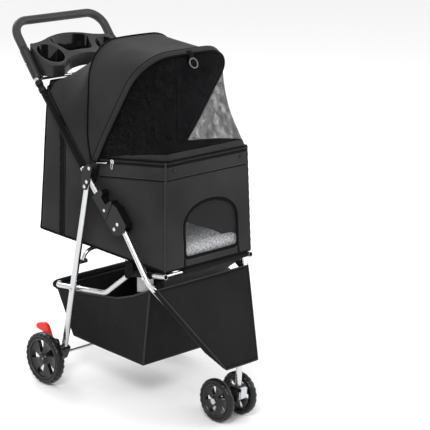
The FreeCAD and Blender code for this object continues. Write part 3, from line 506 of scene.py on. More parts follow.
def resample(points, step):
    """Evenly spaced points along a polyline in millimetres."""
    points = [Vector(p) for p in points]
    lengths = [(b - a).length for a, b in zip(points, points[1:])]
    total = sum(lengths)
    count = max(2, int(round(total / step)))
    result = []
    index = 0
    passed = 0.0
    for k in range(count + 1):
        target = total * k / count
        while index < len(lengths) - 1 and passed + lengths[index] < target:
            passed += lengths[index]
            index += 1
        share = clamp((target - passed) / max(lengths[index], 1e-9))
        result.append(points[index].lerp(points[index + 1], share))
    return result


def rounded(points, passes=2, closed=False):
    """Rounds the corners of a polyline by cutting them, pass by pass."""
    points = [Vector(p) for p in points]
    for _ in range(passes):
        following = points[1:] + points[:1] if closed else points[1:]
        result = [] if closed else [points[0]]
        for a, b in zip(points, following):
            result += [a.lerp(b, 0.25), a.lerp(b, 0.75)]
        if not closed:
            result.append(points[-1])
        points = result
    return points


def stitches(name, points, normal, body, pitch=5.0, length=3.2, radius=0.35, squash_to=None):
    """A row of short raised threads along a seam."""
    path = resample(points, pitch)
    verts = []
    faces = []
    lift = Vector(normal).normalized() * 0.25
    for a, b in zip(path, path[1:]):
        run = b - a
        if run.length < 1e-6:
            continue
        run.normalize()
        side = run.cross(Vector(normal)).normalized()
        up = side.cross(run).normalized()
        start = a + lift
        base = len(verts)
        for share, fat in ((0.0, 0.35), (0.3, 1.0), (0.7, 1.0), (1.0, 0.35)):
            centre = start + run * length * share
            for k in range(4):
                turn = math.pi / 4 + k * math.pi / 2
                offset = side * math.cos(turn) + up * math.sin(turn)
                verts.append(metres(centre + offset * radius * fat))
        for ring in range(3):
            for k in range(4):
                one = base + ring * 4 + k
                two = base + ring * 4 + (k + 1) % 4
                faces.append((one, two, two + 4, one + 4))
        faces.append(tuple(base + k for k in (3, 2, 1, 0)))
        faces.append(tuple(base + 12 + k for k in range(4)))
    piece = add_object(name, new_mesh(name, verts, faces), "thread")
    return settle(piece, body, squash_to)


def ribbon(name, points, normals, width, thickness, material):
    """Flat webbing or binding that follows points, facing the given normals."""
    rows = []
    path = [Vector(p) for p in points]
    for index, point in enumerate(path):
        before = path[max(0, index - 1)]
        after = path[min(len(path) - 1, index + 1)]
        ahead = (after - before).normalized()
        face = Vector(normals[index] if isinstance(normals, list) else normals).normalized()
        side = ahead.cross(face).normalized()
        face = side.cross(ahead).normalized()
        low = point - face * thickness * 0.5
        high = point + face * thickness * 0.5
        half = width * 0.5
        bevel = min(thickness * 0.4, 0.8)
        rows.append([low - side * (half - bevel), low + side * (half - bevel),
                     point + side * half, high + side * (half - bevel),
                     high - side * (half - bevel), point - side * half])
    return closed_sweep(name, rows, material)


def lathe(name, profile, material, segments=96, shape=None):
    """Turns a profile of (radius, x) about the X axis; shape(angle, index) scales the radius."""
    rows = []
    for index, (radius, x) in enumerate(profile):
        ring = []
        for k in range(segments):
            a = 2 * math.pi * k / segments
            size = radius * (shape(a, index) if shape else 1.0)
            ring.append(Vector((x, size * math.cos(a), size * math.sin(a))))
        rows.append(ring)
    rows.append(rows[0])
    piece = cloth_surface(name, rows, material, 0, True)
    with edited(piece.data) as work:
        bmesh.ops.remove_doubles(work, verts=work.verts, dist=1e-6)
    return piece


def slab(name, outline, low, high, place, material, bevel=0.0, segments=3):
    """A plate cut to an outline in the (u, v) plane of place(u, v, w), from w = low to high."""
    count = len(outline)
    verts = [metres(place(u, v, w)) for w in (low, high) for u, v in outline]
    faces = [tuple(reversed(range(count))), tuple(range(count, 2 * count))]
    for i in range(count):
        k = (i + 1) % count
        faces.append((i, k, count + k, count + i))
    mesh = new_mesh(name, verts, faces)
    with edited(mesh):
        pass  # the faces only need to point outward
    piece = add_object(name, mesh, material)
    if bevel:
        add_bevel(piece, bevel, segments)
    set_creases(piece, 40)
    return piece


def add_bevel(piece, width, segments=3, angle=30):
    edge = piece.modifiers.new("Rounded edges", "BEVEL")
    edge.width = width * 0.001
    edge.segments = segments
    edge.limit_method = "ANGLE"
    edge.angle_limit = math.radians(angle)


def apply_modifiers(piece):
    """Turns the piece's modifiers into its own mesh."""
    graph = bpy.context.evaluated_depsgraph_get()
    made = bpy.data.meshes.new_from_object(piece.evaluated_get(graph))
    piece.modifiers.clear()
    old = piece.data
    piece.data = made
    bpy.data.meshes.remove(old)
    return piece


def join_boolean(piece, others, operation):
    """Adds or removes other pieces, which are then deleted."""
    for other in others:
        step = piece.modifiers.new("Join", "BOOLEAN")
        step.operation = operation
        step.solver = "EXACT"
        step.object = other
    apply_modifiers(piece)
    for other in others:
        bpy.data.objects.remove(other, do_unlink=True)
    return piece


def join_pieces(name, parts):
    """Joins loose parts that share one material and move together into one piece."""
    work = bmesh.new()
    for part in parts:
        mesh = part.data
        mesh.transform(part.matrix_world)
        work.from_mesh(mesh)
    mesh = bpy.data.meshes.new(name)
    work.to_mesh(mesh)
    work.free()
    material = parts[0].data.materials[0]
    mesh.materials.append(material)
    mesh.shade_smooth()
    for part in parts:
        bpy.data.objects.remove(part, do_unlink=True)
    return link_object(name, mesh)


# Squash settings for each soft piece: axis, anchor and share kept, on one joint. settle() reads them but
# flattens nothing.
FLOOR_SQUASH = ("handle_fold", (0, 0, 1), (0, 0, FLOOR_Z), 0.10)
BASKET_SQUASH = ("support_fold", (0, 0, 1), (0, 0, 262), 0.25)
STRAP_SQUASH = ("support_fold", (0, 0, 1), (0, 0, 376), 0.25)
MESH_SQUASH = ("handle_fold", (0, -math.sin(FRONT_SLOPE), math.cos(FRONT_SLOPE)), tuple(BOW_PIN), 0.10)


def settle(piece, body, squash_to=None, replaced=()):
    """Rides a finished piece on its body, and gives it its own mesh if a squash is asked; the piece is not
    flattened.
    """
    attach(piece, body)
    if replaced:
        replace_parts(piece, *replaced)
    if squash_to:
        joint, axis, anchor, keep = squash_to
        tuple(metres(anchor))
        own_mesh(piece)
    return piece


# --- shared outlines ----------------------------------------------------------------------------

def tube_x(y):
    """Half-width of the handle's side tube at a place along it."""
    return lerp(172.0, 160.0, clamp((y - 83.0) / 192.0))


def tube_z(y):
    return HINGE_Z + (y - HINGE_Y) * TUBE_SLOPE


def rim_z(y):
    """Height of the cabin's rim: level across the front, falling back to the bracket."""
    return lerp(RIM_Z, RIM_BACK_Z, clamp((y - RIM_FRONT_Y) / (RIM_BACK_Y - RIM_FRONT_Y)))


def front_y(z):
    """Where the sloping front wall stands at a height."""
    return lerp(FRONT_FOOT_Y, RIM_FRONT_Y, clamp((z - FLOOR_Z) / (RIM_Z - FLOOR_Z)))


def back_y(z):
    """Where the back wall stands at a height."""
    if z < BACK_BEND_Z:
        return lerp(BACK_FOOT_Y, BACK_BEND_Y, clamp((z - FLOOR_Z) / (BACK_BEND_Z - FLOOR_Z)))
    return lerp(BACK_BEND_Y, BACK_TOP_Y, clamp((z - BACK_BEND_Z) / (BACK_TOP_Z - BACK_BEND_Z)))


def cabin_half(y, z):
    """Half-width of the cabin, which narrows upwards towards the front."""
    rise = clamp((z - FLOOR_Z) / 290.0)
    front = lerp(155.0, 145.0, rise)
    back = 152.0
    return lerp(front, back, smooth((y + 240.0) / 300.0))


def arch_at(run, half, reach, corner, start):
    """(x, r) on an arch: run goes 0 to 5 up one side, round, across, round and down the other."""
    side = reach - corner
    if run <= 1:
        return -half + 5.0 * (1 - smooth(run * 3)), lerp(start, side, run)
    if run <= 2:
        a = (run - 1) * math.pi / 2
        return -half + corner - corner * math.cos(a), side + corner * math.sin(a)
    if run < 3:
        x = lerp(-half + corner, half - corner, run - 2)
        return x, reach + 1 - (x / (half - corner)) ** 2
    x, r = arch_at(5 - run, half, reach, corner, start)
    return -x, r


RUNS = [k / 12 for k in range(12)] + [1 + k / 12 for k in range(12)] + [2 + k / 14 for k in range(14)]
RUNS += [3 + k / 12 for k in range(12)] + [4 + share for share in shares(12)]


def bow_point(run, slope, half, reach, start, back=0.0):
    """A point on the fabric over a bow, moved back square to the bow's plane."""
    x, r = arch_at(run, half, reach, 96.0, start)
    y = BOW_PIN.y + r * math.cos(slope) + back * math.sin(slope)
    z = BOW_PIN.z + r * math.sin(slope) - back * math.cos(slope)
    return Vector((x, y, z))


def rear_seam(run):
    """The seam over the rear bow, which leaves the bracket and soon stands upright."""
    point = bow_point(run, REAR_SLOPE, 158.0, 331.0, 20.0)
    low = clamp((point.z - 640.0) / 260.0)
    point.y += 15.0 * hump(math.sqrt(low)) if low < 1 else 0.0
    return point


def front_seam(run, back, grow=0.0):
    return bow_point(run, FRONT_SLOPE, 161.5 + grow, 372.0 + grow, 22.0, back)


def blend_over(piece, direction, reach):
    """Bakes a finished piece's transform into its mesh; the piece is not bent across the bow's joint."""
    angle = math.radians(direction)
    across = Vector((0, math.cos(angle), math.sin(angle)))
    tuple(metres(BOW_PIN - across * reach))
    tuple(metres(BOW_PIN + across * reach))
    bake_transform(piece)
    return piece


def blend_hood(piece):
    return blend_over(piece, 193.7, 76)


def blend_quarter(piece):
    return blend_over(piece, 154.75, 97)


def pucker(point, size, seed):
    """How far a sewn sheet wanders off its line: broad waves with finer ones on them, from -1 to 1."""
    return 0.65 * ripple(point, size, seed) + 0.35 * ripple(point, size * 0.38, seed + 5)


# --- hood ---------------------------------------------------------------------------------------

def tail_point(run):
    """The back edge of the rear quarter: up the left tube, across the top and down the right tube."""
    if run > 2.5:
        point = tail_point(5 - run)
        return Vector((-point.x, point.y, point.z))
    if run <= 2:
        y = lerp(46.0, 222.0, run / 2)
        return Vector((-(tube_x(y) - 9), y, tube_z(y) + lerp(11.0, 20.0, run / 2)))
    share = run - 2
    x = -151 + 151 * share * 2
    return Vector((x, 228 + 4 * hump(share), 826 + 6 * smooth(share * 4)))


def quarter_point(run, share):
    seam = rear_seam(run)
    tail = tail_point(run)
    point = seam.lerp(tail, share)
    belly = hump(share)
    top = smooth((2.5 - abs(run - 2.5)) / 1.6 - 0.3)
    point.z -= belly * (13 * top)
    point.x += (-1 if run < 2.5 else 1) * belly * (1 - top) * 1.5
    fold = ripple((point.x * 0.4, point.y, point.z), 85, 3) * 3.2 + ripple(point, 30, 4) * 0.8
    point.z += belly * fold * top
    point.x += belly * fold * (1 - top) * 0.6
    return point


def hood_point(run, share):
    rear = rear_seam(run)
    front = front_seam(run, -7)
    point = rear.lerp(front, share)
    belly = hump(clamp(share * 1.04))
    away = Vector((point.x * 0.45, point.y - BOW_PIN.y, point.z - BOW_PIN.z))
    reach = away.length
    away.normalize()
    sideways = smooth((1.9 - min(run, 5 - run)) / 0.6)
    lift = belly * clamp(reach / 320) * lerp(-1.5, 4.0, sideways)
    fold = ripple((point.x * 0.7, point.y * 0.5, point.z), 110, 9) * 2.6 + ripple(point, 34, 2) * 0.7
    return point + away * (lift + fold * belly * clamp(reach / 160))


def make_hood():
    rows = [[quarter_point(run, share) for run in RUNS] for share in shares(20)]
    quarter = cloth_surface("RearQuarter", rows, "fabric", 1.4)
    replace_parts(blend_quarter(quarter), "canopy_rear")
    rows = [[hood_point(run, share) for run in RUNS] for share in shares(24)]
    hood = cloth_surface("Hood", rows, "fabric", 1.4)
    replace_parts(blend_hood(hood), "canopy_hood")
    rear_line = [quarter_point(run, 0) for run in RUNS]
    seam = cord_tube("HoodRearPiping", [lift_from_pin(p, 1.2) for p in rear_line], 2.4, "piping", 8)
    blend_hood(seam)
    for name, back, radius in (("HoodFrontPiping", -8, 2.4), ("HoodHemSeam", 11, 1.5)):
        line = [lift_from_pin(front_seam(run, back), 1.4) for run in RUNS]
        blend_hood(cord_tube(name, line, radius, "piping", 8))
    rows = [[lift_from_pin(front_seam(run, back), lift) for run in RUNS]
            for back, lift in ((-8.5, 0.8), (-4, 1.8), (2, 2.1), (8, 2.0), (12, 1.0))]
    band = cloth_surface("HoodFrontBand", rows, "fabric", 0.8)
    blend_hood(band)
    tail = cord_tube("QuarterTailPiping", [tail_point(run) for run in RUNS], 2.2, "piping", 8)
    blend_quarter(tail)
    make_sleeves()
    make_ring_tab()


def lift_from_pin(point, height):
    away = Vector((point.x, point.y - BOW_PIN.y, point.z - BOW_PIN.z)).normalized()
    return Vector(point) + away * height


def make_sleeves():
    """Narrow fabric sleeves, sewn to the quarter, that slip over the two handle tubes."""
    for side, sign in SIDES:
        places = [lerp(60.0, 264.0, share) for share in shares(40)]
        line = [Vector((sign * tube_x(y), y, tube_z(y) + 0.5)) for y in places]
        sleeve = cord_tube("TubeSleeve" + side.title(), line, 8.8, "fabric_painted_shade", 20,
                           swell=lambda s: 1.0 + 0.06 * ripple((s * 300, 0, 0), 14, 2))
        settle(sleeve, "handle")


def make_ring_tab():
    """The webbing tab that holds the hook ring on the front of the hood."""
    top = front_seam(2.5, -6)
    line = [top + Vector((0, 6, 6)), top + Vector((0, -5, 1)), top + Vector((0, -10, -10)),
            top + Vector((0, -13, -24))]
    tab = ribbon("RingTab", rounded(line, 2), Vector((0, -0.9, 0.4)), 18, 2.2, "strip")
    settle(tab, "front_hoop")


# --- mesh front ---------------------------------------------------------------------------------

def rim_point(run):
    """The mesh's lower edge: forward along the left rim, across the front and back along the right."""
    if run > 2.5:
        point = rim_point(5 - run)
        return Vector((-point.x, point.y, point.z))
    if run <= 2:
        y = lerp(14.0, -222.0, smooth(run / 2) * 0.35 + run / 2 * 0.65)
        return Vector((-cabin_half(y, rim_z(y)) - 0.5, y, rim_z(y) + 1))
    share = clamp((run - 2) / 0.12)
    corner = Vector((-cabin_half(-222, RIM_Z) - 0.5, -222, rim_z(-222) + 1))
    if share < 1:
        return corner + Vector((8 * share, -12 * math.sin(share * math.pi / 2), 1.0 * share))
    return Vector((lerp(corner.x + 8, 0, (run - 2.12) / 0.38), -234, 702))


def mesh_point(run, share):
    top = front_seam(run, -8, -3)
    point = top.lerp(rim_point(run), share)
    belly = hump(share)
    middle = smooth((2.5 - abs(run - 2.5)) / 1.2 - 0.6)
    fold = ripple((point.x, point.y * 0.4, point.z * 0.35), 42, 6) * 2.6 + ripple(point, 21, 8) * 0.8
    sag = belly * (0.6 - 2.6 * middle)
    side = -1 if run < 2.5 else 1
    point += Vector((-side * sag * (1 - middle), sag * middle + fold * belly * middle,
                     -belly * 1.5 * middle))
    return point + Vector((side * fold * belly * (1 - middle) * 0.5, 0, 0))


def make_mesh_front():
    rows = [[mesh_point(run, share) for run in RUNS] for share in shares(22)]
    front = cloth_surface("MeshFront", rows, "mesh", 0.5)
    settle(front, "front_hoop", MESH_SQUASH, ("mesh_front",))
    rows = [[mesh_point(run, share) + Vector((0, -0.6, 0.4)) for run in RUNS]
            for share in (0.93, 0.955, 0.98, 1.0)]
    hem = cloth_surface("MeshHem", rows, "fabric", 1.2)
    settle(hem, "front_hoop", MESH_SQUASH)


# --- cabin --------------------------------------------------------------------------------------

def wall_top(y):
    """Top edge of the side walls and, behind the bracket, of the wall beside the handle tube."""
    if y <= RIM_BACK_Y:
        return rim_z(y)
    if y <= 60:
        return lerp(RIM_BACK_Z, 654.0, smooth((y - RIM_BACK_Y) / 40))
    return min(tube_z(y) + lerp(23.0, 24.0, clamp((y - 60) / 170)), 828.0)


def cabin_ring():
    """Steps round the three plain walls: (kind, share) from the left front corner to the right one."""
    stretches = (("left", 56), ("corner_left", 8), ("back", 30), ("corner_right", 8))
    steps = [(kind, share) for kind, count in stretches for share in shares(count)[:-1]]
    return steps + [("right", share) for share in shares(56)]


def cabin_point(kind, share, height):
    """A point on the cabin's walls; height goes from 0 at the floor to 1 at that place's top edge."""
    turn = 16.0
    sign = -1 if kind in ("left", "corner_left") else 1
    if kind in ("left", "right"):
        along_y = share if kind == "left" else 1 - share
        y_at = lerp(RIM_FRONT_Y, 236.0 - turn, along_y)
        z = lerp(FLOOR_Z, wall_top(y_at), height)
        y = lerp(front_y(z), back_y(z) - turn, along_y)
        half = cabin_half(y, z)
        return Vector((sign * half, y, z)), Vector((sign, 0, 0)), along_y
    if kind == "back":
        z = lerp(FLOOR_Z, 830.0, height)
        half = cabin_half(250, z) - turn
        return Vector((lerp(-half, half, share), back_y(z), z)), Vector((0, 1, 0)), 1.0
    angle = (share if sign < 0 else 1 - share) * math.pi / 2
    z = lerp(FLOOR_Z, wall_top(228), height)
    half = cabin_half(250, z)
    outward = Vector((sign * math.cos(angle), math.sin(angle), 0))
    centre = Vector((sign * (half - turn), back_y(z) - turn, z))
    return centre + outward * turn, outward, 1.0


def cabin_wall(kind, share, height):
    point, outward, along_y = cabin_point(kind, share, height)
    rise = (point.z - FLOOR_Z) / 280
    hang = hump(clamp(rise))
    if kind in ("left", "right"):
        span = hump(along_y)
        depth = 3.2 * hang * span + 1.4 * pucker((point.y, point.z * 0.4, 0), 75, 4)
        near = math.exp(-abs(point.y - STRAP_Y) / 16)
        depth += near * 1.3 * math.sin(point.z / 4.2 + 2 * ripple((0, 0, point.z), 40, 1))
        depth += 2.4 * math.exp(-abs(point.y - STRAP_Y) / 7)
        edge = math.exp(-(along_y * 470) / 10)
        depth += edge * 0.7 * math.sin(point.z / 3.4)
    else:
        depth = 4.5 * hang * (1 if kind == "back" else 0.2) + 1.2 * pucker(point, 80, 7)
    low = math.exp(-(point.z - FLOOR_Z) / 10)
    depth += low * 0.6 * math.sin((point.x + point.y) / 3.8)
    return point - outward * depth


def window_outline(count, grow=0.0):
    """(x, z) round the arched window, from the bottom middle, clockwise seen from the front."""
    half = 92.0 + grow
    bottom = 440.0 - grow
    shoulder = 512.0
    top = 574.0 + grow
    corner = 14
    line = [Vector((0, bottom, 0)), Vector((-half + corner, bottom, 0))]
    for k in range(7):
        a = math.pi / 2 * k / 6
        line.append(Vector((-half + corner - corner * math.sin(a),
                            bottom + corner - corner * math.cos(a), 0)))
    line.append(Vector((-half, shoulder, 0)))
    for k in range(1, 25):
        a = math.pi * k / 24
        line.append(Vector((-half * math.cos(a), shoulder + (top - shoulder) * math.sin(a) ** 0.86, 0)))
    line += [Vector((-p.x, p.y, 0)) for p in reversed(line[:9])]
    return [(p.x + WINDOW_X, p.y) for p in resample(line, sum_length(line) / count)][:count]


def sum_length(line):
    return sum((b - a).length for a, b in zip(line, line[1:]))


def front_outline(count):
    """(x, z) round the edge of the front wall, from the bottom middle, clockwise from the front."""
    low = cabin_half(FRONT_FOOT_Y, FLOOR_Z)
    high = cabin_half(RIM_FRONT_Y, RIM_Z)
    line = [Vector(p) for p in ((0, FLOOR_Z, 0), (-low, FLOOR_Z, 0), (-high, RIM_Z, 0), (high, RIM_Z, 0),
                                (low, FLOOR_Z, 0), (0, FLOOR_Z, 0))]
    return [(p.x, p.y) for p in resample(line, sum_length(line) / count)][:count]


def front_wall_point(x, z):
    rise = (z - FLOOR_Z) / (RIM_Z - FLOOR_Z)
    edge = clamp((cabin_half(-240, z) - abs(x)) / 60)
    inward = 4.0 * hump(clamp(rise)) * smooth(edge)
    wander = 1.6 * pucker((x, 0, z * 0.5), 60, 11) * smooth(edge)
    return Vector((x, front_y(z) + inward + wander, z))


WINDOW_STEPS = 120


def sew_to_cabin(piece):
    """Settles a plain fabric piece on the cabin."""
    return settle(piece, "cabin", FLOOR_SQUASH)


def make_cabin():
    rows = [[cabin_wall(kind, share, height) for kind, share in cabin_ring()] for height in shares(40)]
    walls = cloth_surface("CabinWalls", rows, "fabric", 1.6)
    settle(walls, "cabin", FLOOR_SQUASH, ("cabin_shell",))

    inner = window_outline(WINDOW_STEPS, 2.0)
    outer = front_outline(WINDOW_STEPS)
    rows = [[front_wall_point(lerp(a[0], b[0], share), lerp(a[1], b[1], share))
             for a, b in zip(inner, outer)] for share in shares(14)]
    front = sew_to_cabin(cloth_surface("CabinFront", rows, "fabric", 1.6, True))

    rows = [[Vector((lerp(-1, 1, across) * lerp(154, 151, share), lerp(-248, 268, share), FLOOR_Z + 0.8))
             for across in shares(16)] for share in shares(12)]
    floor = cloth_surface("CabinFloorCloth", rows, "fabric", 1.2)
    settle(floor, "cabin")

    seams = cabin_seams()
    make_window()
    make_rim_band()
    make_side_straps()
    make_snaps()


def cabin_seams():
    pieces = []
    steps = cabin_ring()
    lines = {
        "CabinBottomPiping": [cabin_wall(kind, share, 0.0) for kind, share in steps]
        + [front_wall_point(lerp(155, -155, k / 30), FLOOR_Z) for k in range(1, 30)],
        "CabinBackTopPiping": [cabin_wall(kind, share, 1.0) for kind, share in steps
                               if cabin_point(kind, share, 1.0)[0].y > 60],
    }
    for side, sign in SIDES:
        name = side.title()
        start = 0 if sign < 0 else 1
        lines["FrontCornerPiping" + name] = [cabin_wall(side, start, height) + Vector((sign, -1, 0))
                                             for height in shares(40)]
        lines["BackCornerPiping" + name] = [
            cabin_wall("corner_" + side, 0.5, height) + Vector((sign * 0.8, 0.8, 0))
            for height in shares(40)]
    for name, line in lines.items():
        if name == "CabinBottomPiping":
            line = line + [line[0]]
        # front corners take the lighter piping copy, a painted highlight along the edge
        radius, material = (2.3, "piping_painted_highlight") if name.startswith("Front") else (3.0, "piping")
        pieces.append(sew_to_cabin(cord_tube(name, line, radius, material, 8)))
    return pieces


def make_window():
    """The clear pane, its bound edge, the two bound legs below it and a stitched outline."""
    behind = Vector((0, 2.2, 0))
    rows = [[front_wall_point(lerp(WINDOW_X, x, share), lerp(WINDOW_MIDDLE_Z, z, share)) + behind
             for x, z in window_outline(WINDOW_STEPS, 5.0)] for share in shares(8)]
    pane = cloth_surface("WindowPaneVinyl", rows, "vinyl", 0.5, True)
    settle(pane, "cabin", FLOOR_SQUASH, ("window_pane",))
    line = [front_wall_point(x, z) + Vector((0, -1.2, 0)) for x, z in window_outline(WINDOW_STEPS, 4.0)]
    line.append(line[0])
    sew_to_cabin(ribbon("WindowBinding", line, Vector((0, -1, 0.05)), 9, 2.2, "piping"))
    for side, sign in SIDES:
        line = [front_wall_point(WINDOW_X + sign * (96 + k * 0.15), 446 - k * 1.7) + Vector((0, -1.2, 0))
                for k in range(19)]
        sew_to_cabin(ribbon("WindowLeg" + side.title(), line, Vector((0, -1, 0.05)), 8, 2.0, "piping"))
    line = [front_wall_point(x, z) + Vector((0, -1.8, 0)) for x, z in window_outline(WINDOW_STEPS, 10.5)]
    stitches("WindowStitch", line, (0, -1, 0), "cabin", 5.0, 3.2, 0.4, FLOOR_SQUASH)


def band_line(drop, out=0.0):
    """A line round the cabin's rim, from the left bracket to the right, a given drop below it."""
    line = []
    for k in range(45):
        y = lerp(BAND_BACK_Y, BAND_CORNER_Y, k / 44)
        z = rim_z(y) - drop
        line.append(Vector((-cabin_half(y, z) - out, front_y(z) + 2 if k == 44 else y, z)))
    half = cabin_half(RIM_FRONT_Y, RIM_Z - drop)
    for share in shares(40)[1:-1]:
        line.append(front_wall_point(lerp(-half, half, share), RIM_Z - drop) + Vector((0, -out, 0)))
    for k in range(45):
        y = lerp(BAND_CORNER_Y, BAND_BACK_Y, k / 44)
        z = rim_z(y) - drop
        line.append(Vector((cabin_half(y, z) + out, front_y(z) + 2 if k == 0 else y, z)))
    return line


def make_rim_band():
    """The doubled band round the rim, its lower seam, the zip tape and the zip's slider."""
    drops = (0, 3, 14, 28, 40, 47, BAND_DROP)
    outs = (1.6, 2.6, 2.8, 2.4, 2.8, 2.6, 0.6)
    rows = [band_line(drop, out) for drop, out in zip(drops, outs)]
    for index, row in enumerate(rows):
        for point in row:
            wave = ripple((point.x, point.y, 0), 34, 3) * 0.8 * (1 if 1 < index < 6 else 0.2)
            if abs(point.y - RIM_FRONT_Y) > 8:
                point.x += wave * (1 if point.x > 0 else -1)
            else:
                point.y -= wave
    band = sew_to_cabin(cloth_surface("RimBand", rows, "fabric", 0.9))
    sew_to_cabin(cord_tube("RimPiping", band_line(-1.0, 2.4), 2.6, "piping", 8))
    sew_to_cabin(cord_tube("BandSeam", band_line(BAND_DROP, 1.6), 1.5, "piping", 8))
    for name, drop in (("BandStitchLow", 45.0), ("BandStitchHigh", 5.0)):
        stitches(name, band_line(drop, 4.0), (0, 0, 1), "cabin", 5.2, 3.2, 0.35, FLOOR_SQUASH)
    line = band_line(9.0, 4.0)
    facing = [Vector((p.x * 0.01, -1 if abs(p.y - RIM_FRONT_Y) < 9 else 0, 0)) for p in line]
    sew_to_cabin(ribbon("ZipTape", line, facing, 8, 1.0, "strip"))
    make_zip_slider()


def make_zip_slider():
    """The zip's slider and its tab, hanging beside the rim on the left."""
    low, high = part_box("zipper_pull")
    middle = (low + high) * 500
    x = low.x * 1000 - 1.2
    top = high.z * 1000
    slider = slab("ZipSliderBody", [(-5, -7), (5, -7), (6, 0), (4, 7), (-4, 7), (-6, 0)], -2.2, 2.2,
                  lambda u, v, w: Vector((x + w, middle.y + v, top - 5 + u)), "rivet", 0.8)
    parts = [apply_modifiers(slider)]
    rings = (("ZipTab", 2.5, 15, 3.4, 10.5, 32, 1.0), ("ZipLoop", 3, 3, 4, 3.4, 20, 0.9))
    for name, out, drop, wide, tall, count, radius in rings:
        line = [Vector((x - out, middle.y + wide * math.sin(a), top - drop + tall * math.cos(a)))
                for a in [2 * math.pi * k / count for k in range(count + 1)]]
        parts.append(cord_tube(name, line, radius, "rivet", 8))
    slider = join_pieces("ZipSlider", parts)
    settle(slider, "zipper", FLOOR_SQUASH, ("zipper_pull",))


def make_side_straps():
    """Webbing sewn up each side wall near the back, with a stitched seam on each side of it."""
    for side, sign in SIDES:
        name = side.title()
        line = []
        for climb in shares(33):
            z = lerp(FLOOR_Z + 1, wall_top(STRAP_Y) - 3, climb)
            share = (STRAP_Y - front_y(z)) / (back_y(z) - 16 - front_y(z))
            share = share if sign < 0 else 1 - share
            height = (z - FLOOR_Z) / (wall_top(STRAP_Y) - FLOOR_Z)
            line.append(cabin_wall(side, share, height) + Vector((sign * 1.6, 0, 0)))
        sew_to_cabin(ribbon("SideStrap" + name, line, Vector((sign, 0, 0)), 26, 1.8, "strip"))
        for mark, edge, lift in (("11Front", -11, 1.4), ("11Back", 11, 1.4), ("19Front", -19, 0.2)):
            shifted = [p + Vector((sign * lift, edge, 0)) for p in line]
            stitches("StrapStitch" + name + mark, shifted, (sign, 0, 0), "cabin", 5.0, 3.0, 0.4,
                     FLOOR_SQUASH)


def make_snaps():
    """Press snaps on the front of the rim band."""
    parts = []
    for sign in (-1, 1):
        place = front_wall_point(sign * 120, 676) + Vector((0, -4.4, 0))
        profile = [(4.0, 0), (4.2, -0.8), (3.2, -1.6), (1.8, -1.3), (0.1, -1.7), (0.1, 0)]
        cap = lathe("SnapCap", profile, "plastic", 24)
        cap.matrix_world = Matrix.Translation(metres(place)) @ Matrix.Rotation(math.pi / 2, 4, "Z")
        parts.append(cap)
    bpy.context.view_layer.update()
    settle(join_pieces("RimSnaps", parts), "cabin", FLOOR_SQUASH, ("rim_snaps",))


# --- cushion ------------------------------------------------------------------------------------

PAD_PRESSURE = 4.0


def cloth_pad(name, size, place, material, voxel, cap):
    """A stuffed pad: a rounded block blown up a little by cloth pressure, then smoothed."""
    mesh = bpy.data.meshes.new(name)
    work = bmesh.new()
    bmesh.ops.create_cube(work, size=1.0)
    bmesh.ops.scale(work, vec=metres(size), verts=work.verts)
    bmesh.ops.translate(work, vec=metres(place), verts=work.verts)
    work.to_mesh(mesh)
    work.free()
    pad = add_object(name, mesh, material)
    add_bevel(pad, min(size) * 0.42, 4)
    grid = pad.modifiers.new("Even grid", "REMESH")
    grid.mode = "VOXEL"
    grid.voxel_size = voxel
    apply_modifiers(pad)
    rest = [v.co.copy() for v in pad.data.vertices]
    blow_up(pad)
    for vertex, start in zip(pad.data.vertices, rest):
        move = vertex.co - start
        if move.length > cap:
            vertex.co = start + move.normalized() * cap
    soften = pad.modifiers.new("Soft", "SUBSURF")
    soften.levels = 1
    soften.render_levels = 1
    apply_modifiers(pad)
    return pad


def blow_up(pad):
    cloth = pad.modifiers.new("Stuffing", "CLOTH")
    cloth.settings.quality = 5
    cloth.settings.use_pressure = True
    cloth.settings.uniform_pressure_force = PAD_PRESSURE
    cloth.settings.effector_weights.gravity = 0
    cloth.point_cache.frame_start = 1
    cloth.point_cache.frame_end = 20
    for number in range(1, 21):
        bpy.context.scene.frame_set(number)
    apply_modifiers(pad)
    bpy.context.scene.frame_set(1)


def plush_pile(pad, height, fine, channels=0.0):
    """Pushes the pad's skin out in soft tufts and keeps its underside flat."""
    mesh = pad.data
    low = min(v.co.z for v in mesh.vertices)
    for vertex in mesh.vertices:
        here = vertex.co * 1000
        tuft = ripple(here, fine, 1) * height + ripple(here, fine * 2.7, 2) * height
        lift = smooth((vertex.co.z - low) * 1000 / 14)
        vertex.co += vertex.normal * tuft * 0.001 * lift
        if channels:
            valley = math.exp(-((here.x % 92 - 46) / 5) ** 2) * lift
            vertex.co.z -= channels * 0.001 * valley
    mesh.update()


def make_cushion():
    pad = cloth_pad("CushionPad", (266, 440, 26), (0, 30, 436), "plush", 0.006, 0.008)
    plush_pile(pad, 1.2, 9.0, 5.0)
    settle(pad, "cabin", FLOOR_SQUASH, ("cushion_pad",))
    roll = cloth_pad("CushionFrontRoll", (262, 40, 38), (0, -218, 444), "plush", 0.005, 0.006)
    plush_pile(roll, 1.3, 8.0)
    settle(roll, "cabin", FLOOR_SQUASH)


# --- basket -------------------------------------------------------------------------------------

def basket_top(share):
    """The basket's mouth: share goes from 0 to 1 round it from the rear left, forward first."""
    left = [(-146, 196, 257), (-147, 60, 270), (-147, -60, 290), (-147, -120, 312), (-146, -184, 344)]
    return loop_at(left + [(-x, y, z) for x, y, z in reversed(left)], share)


def loop_at(corners, share):
    """A point on a closed loop of corners, where the corner number is its own step."""
    count = len(corners)
    place = (share % 1.0) * count
    index = int(place) % count
    a = Vector(corners[index])
    b = Vector(corners[(index + 1) % count])
    return a.lerp(b, place - int(place))


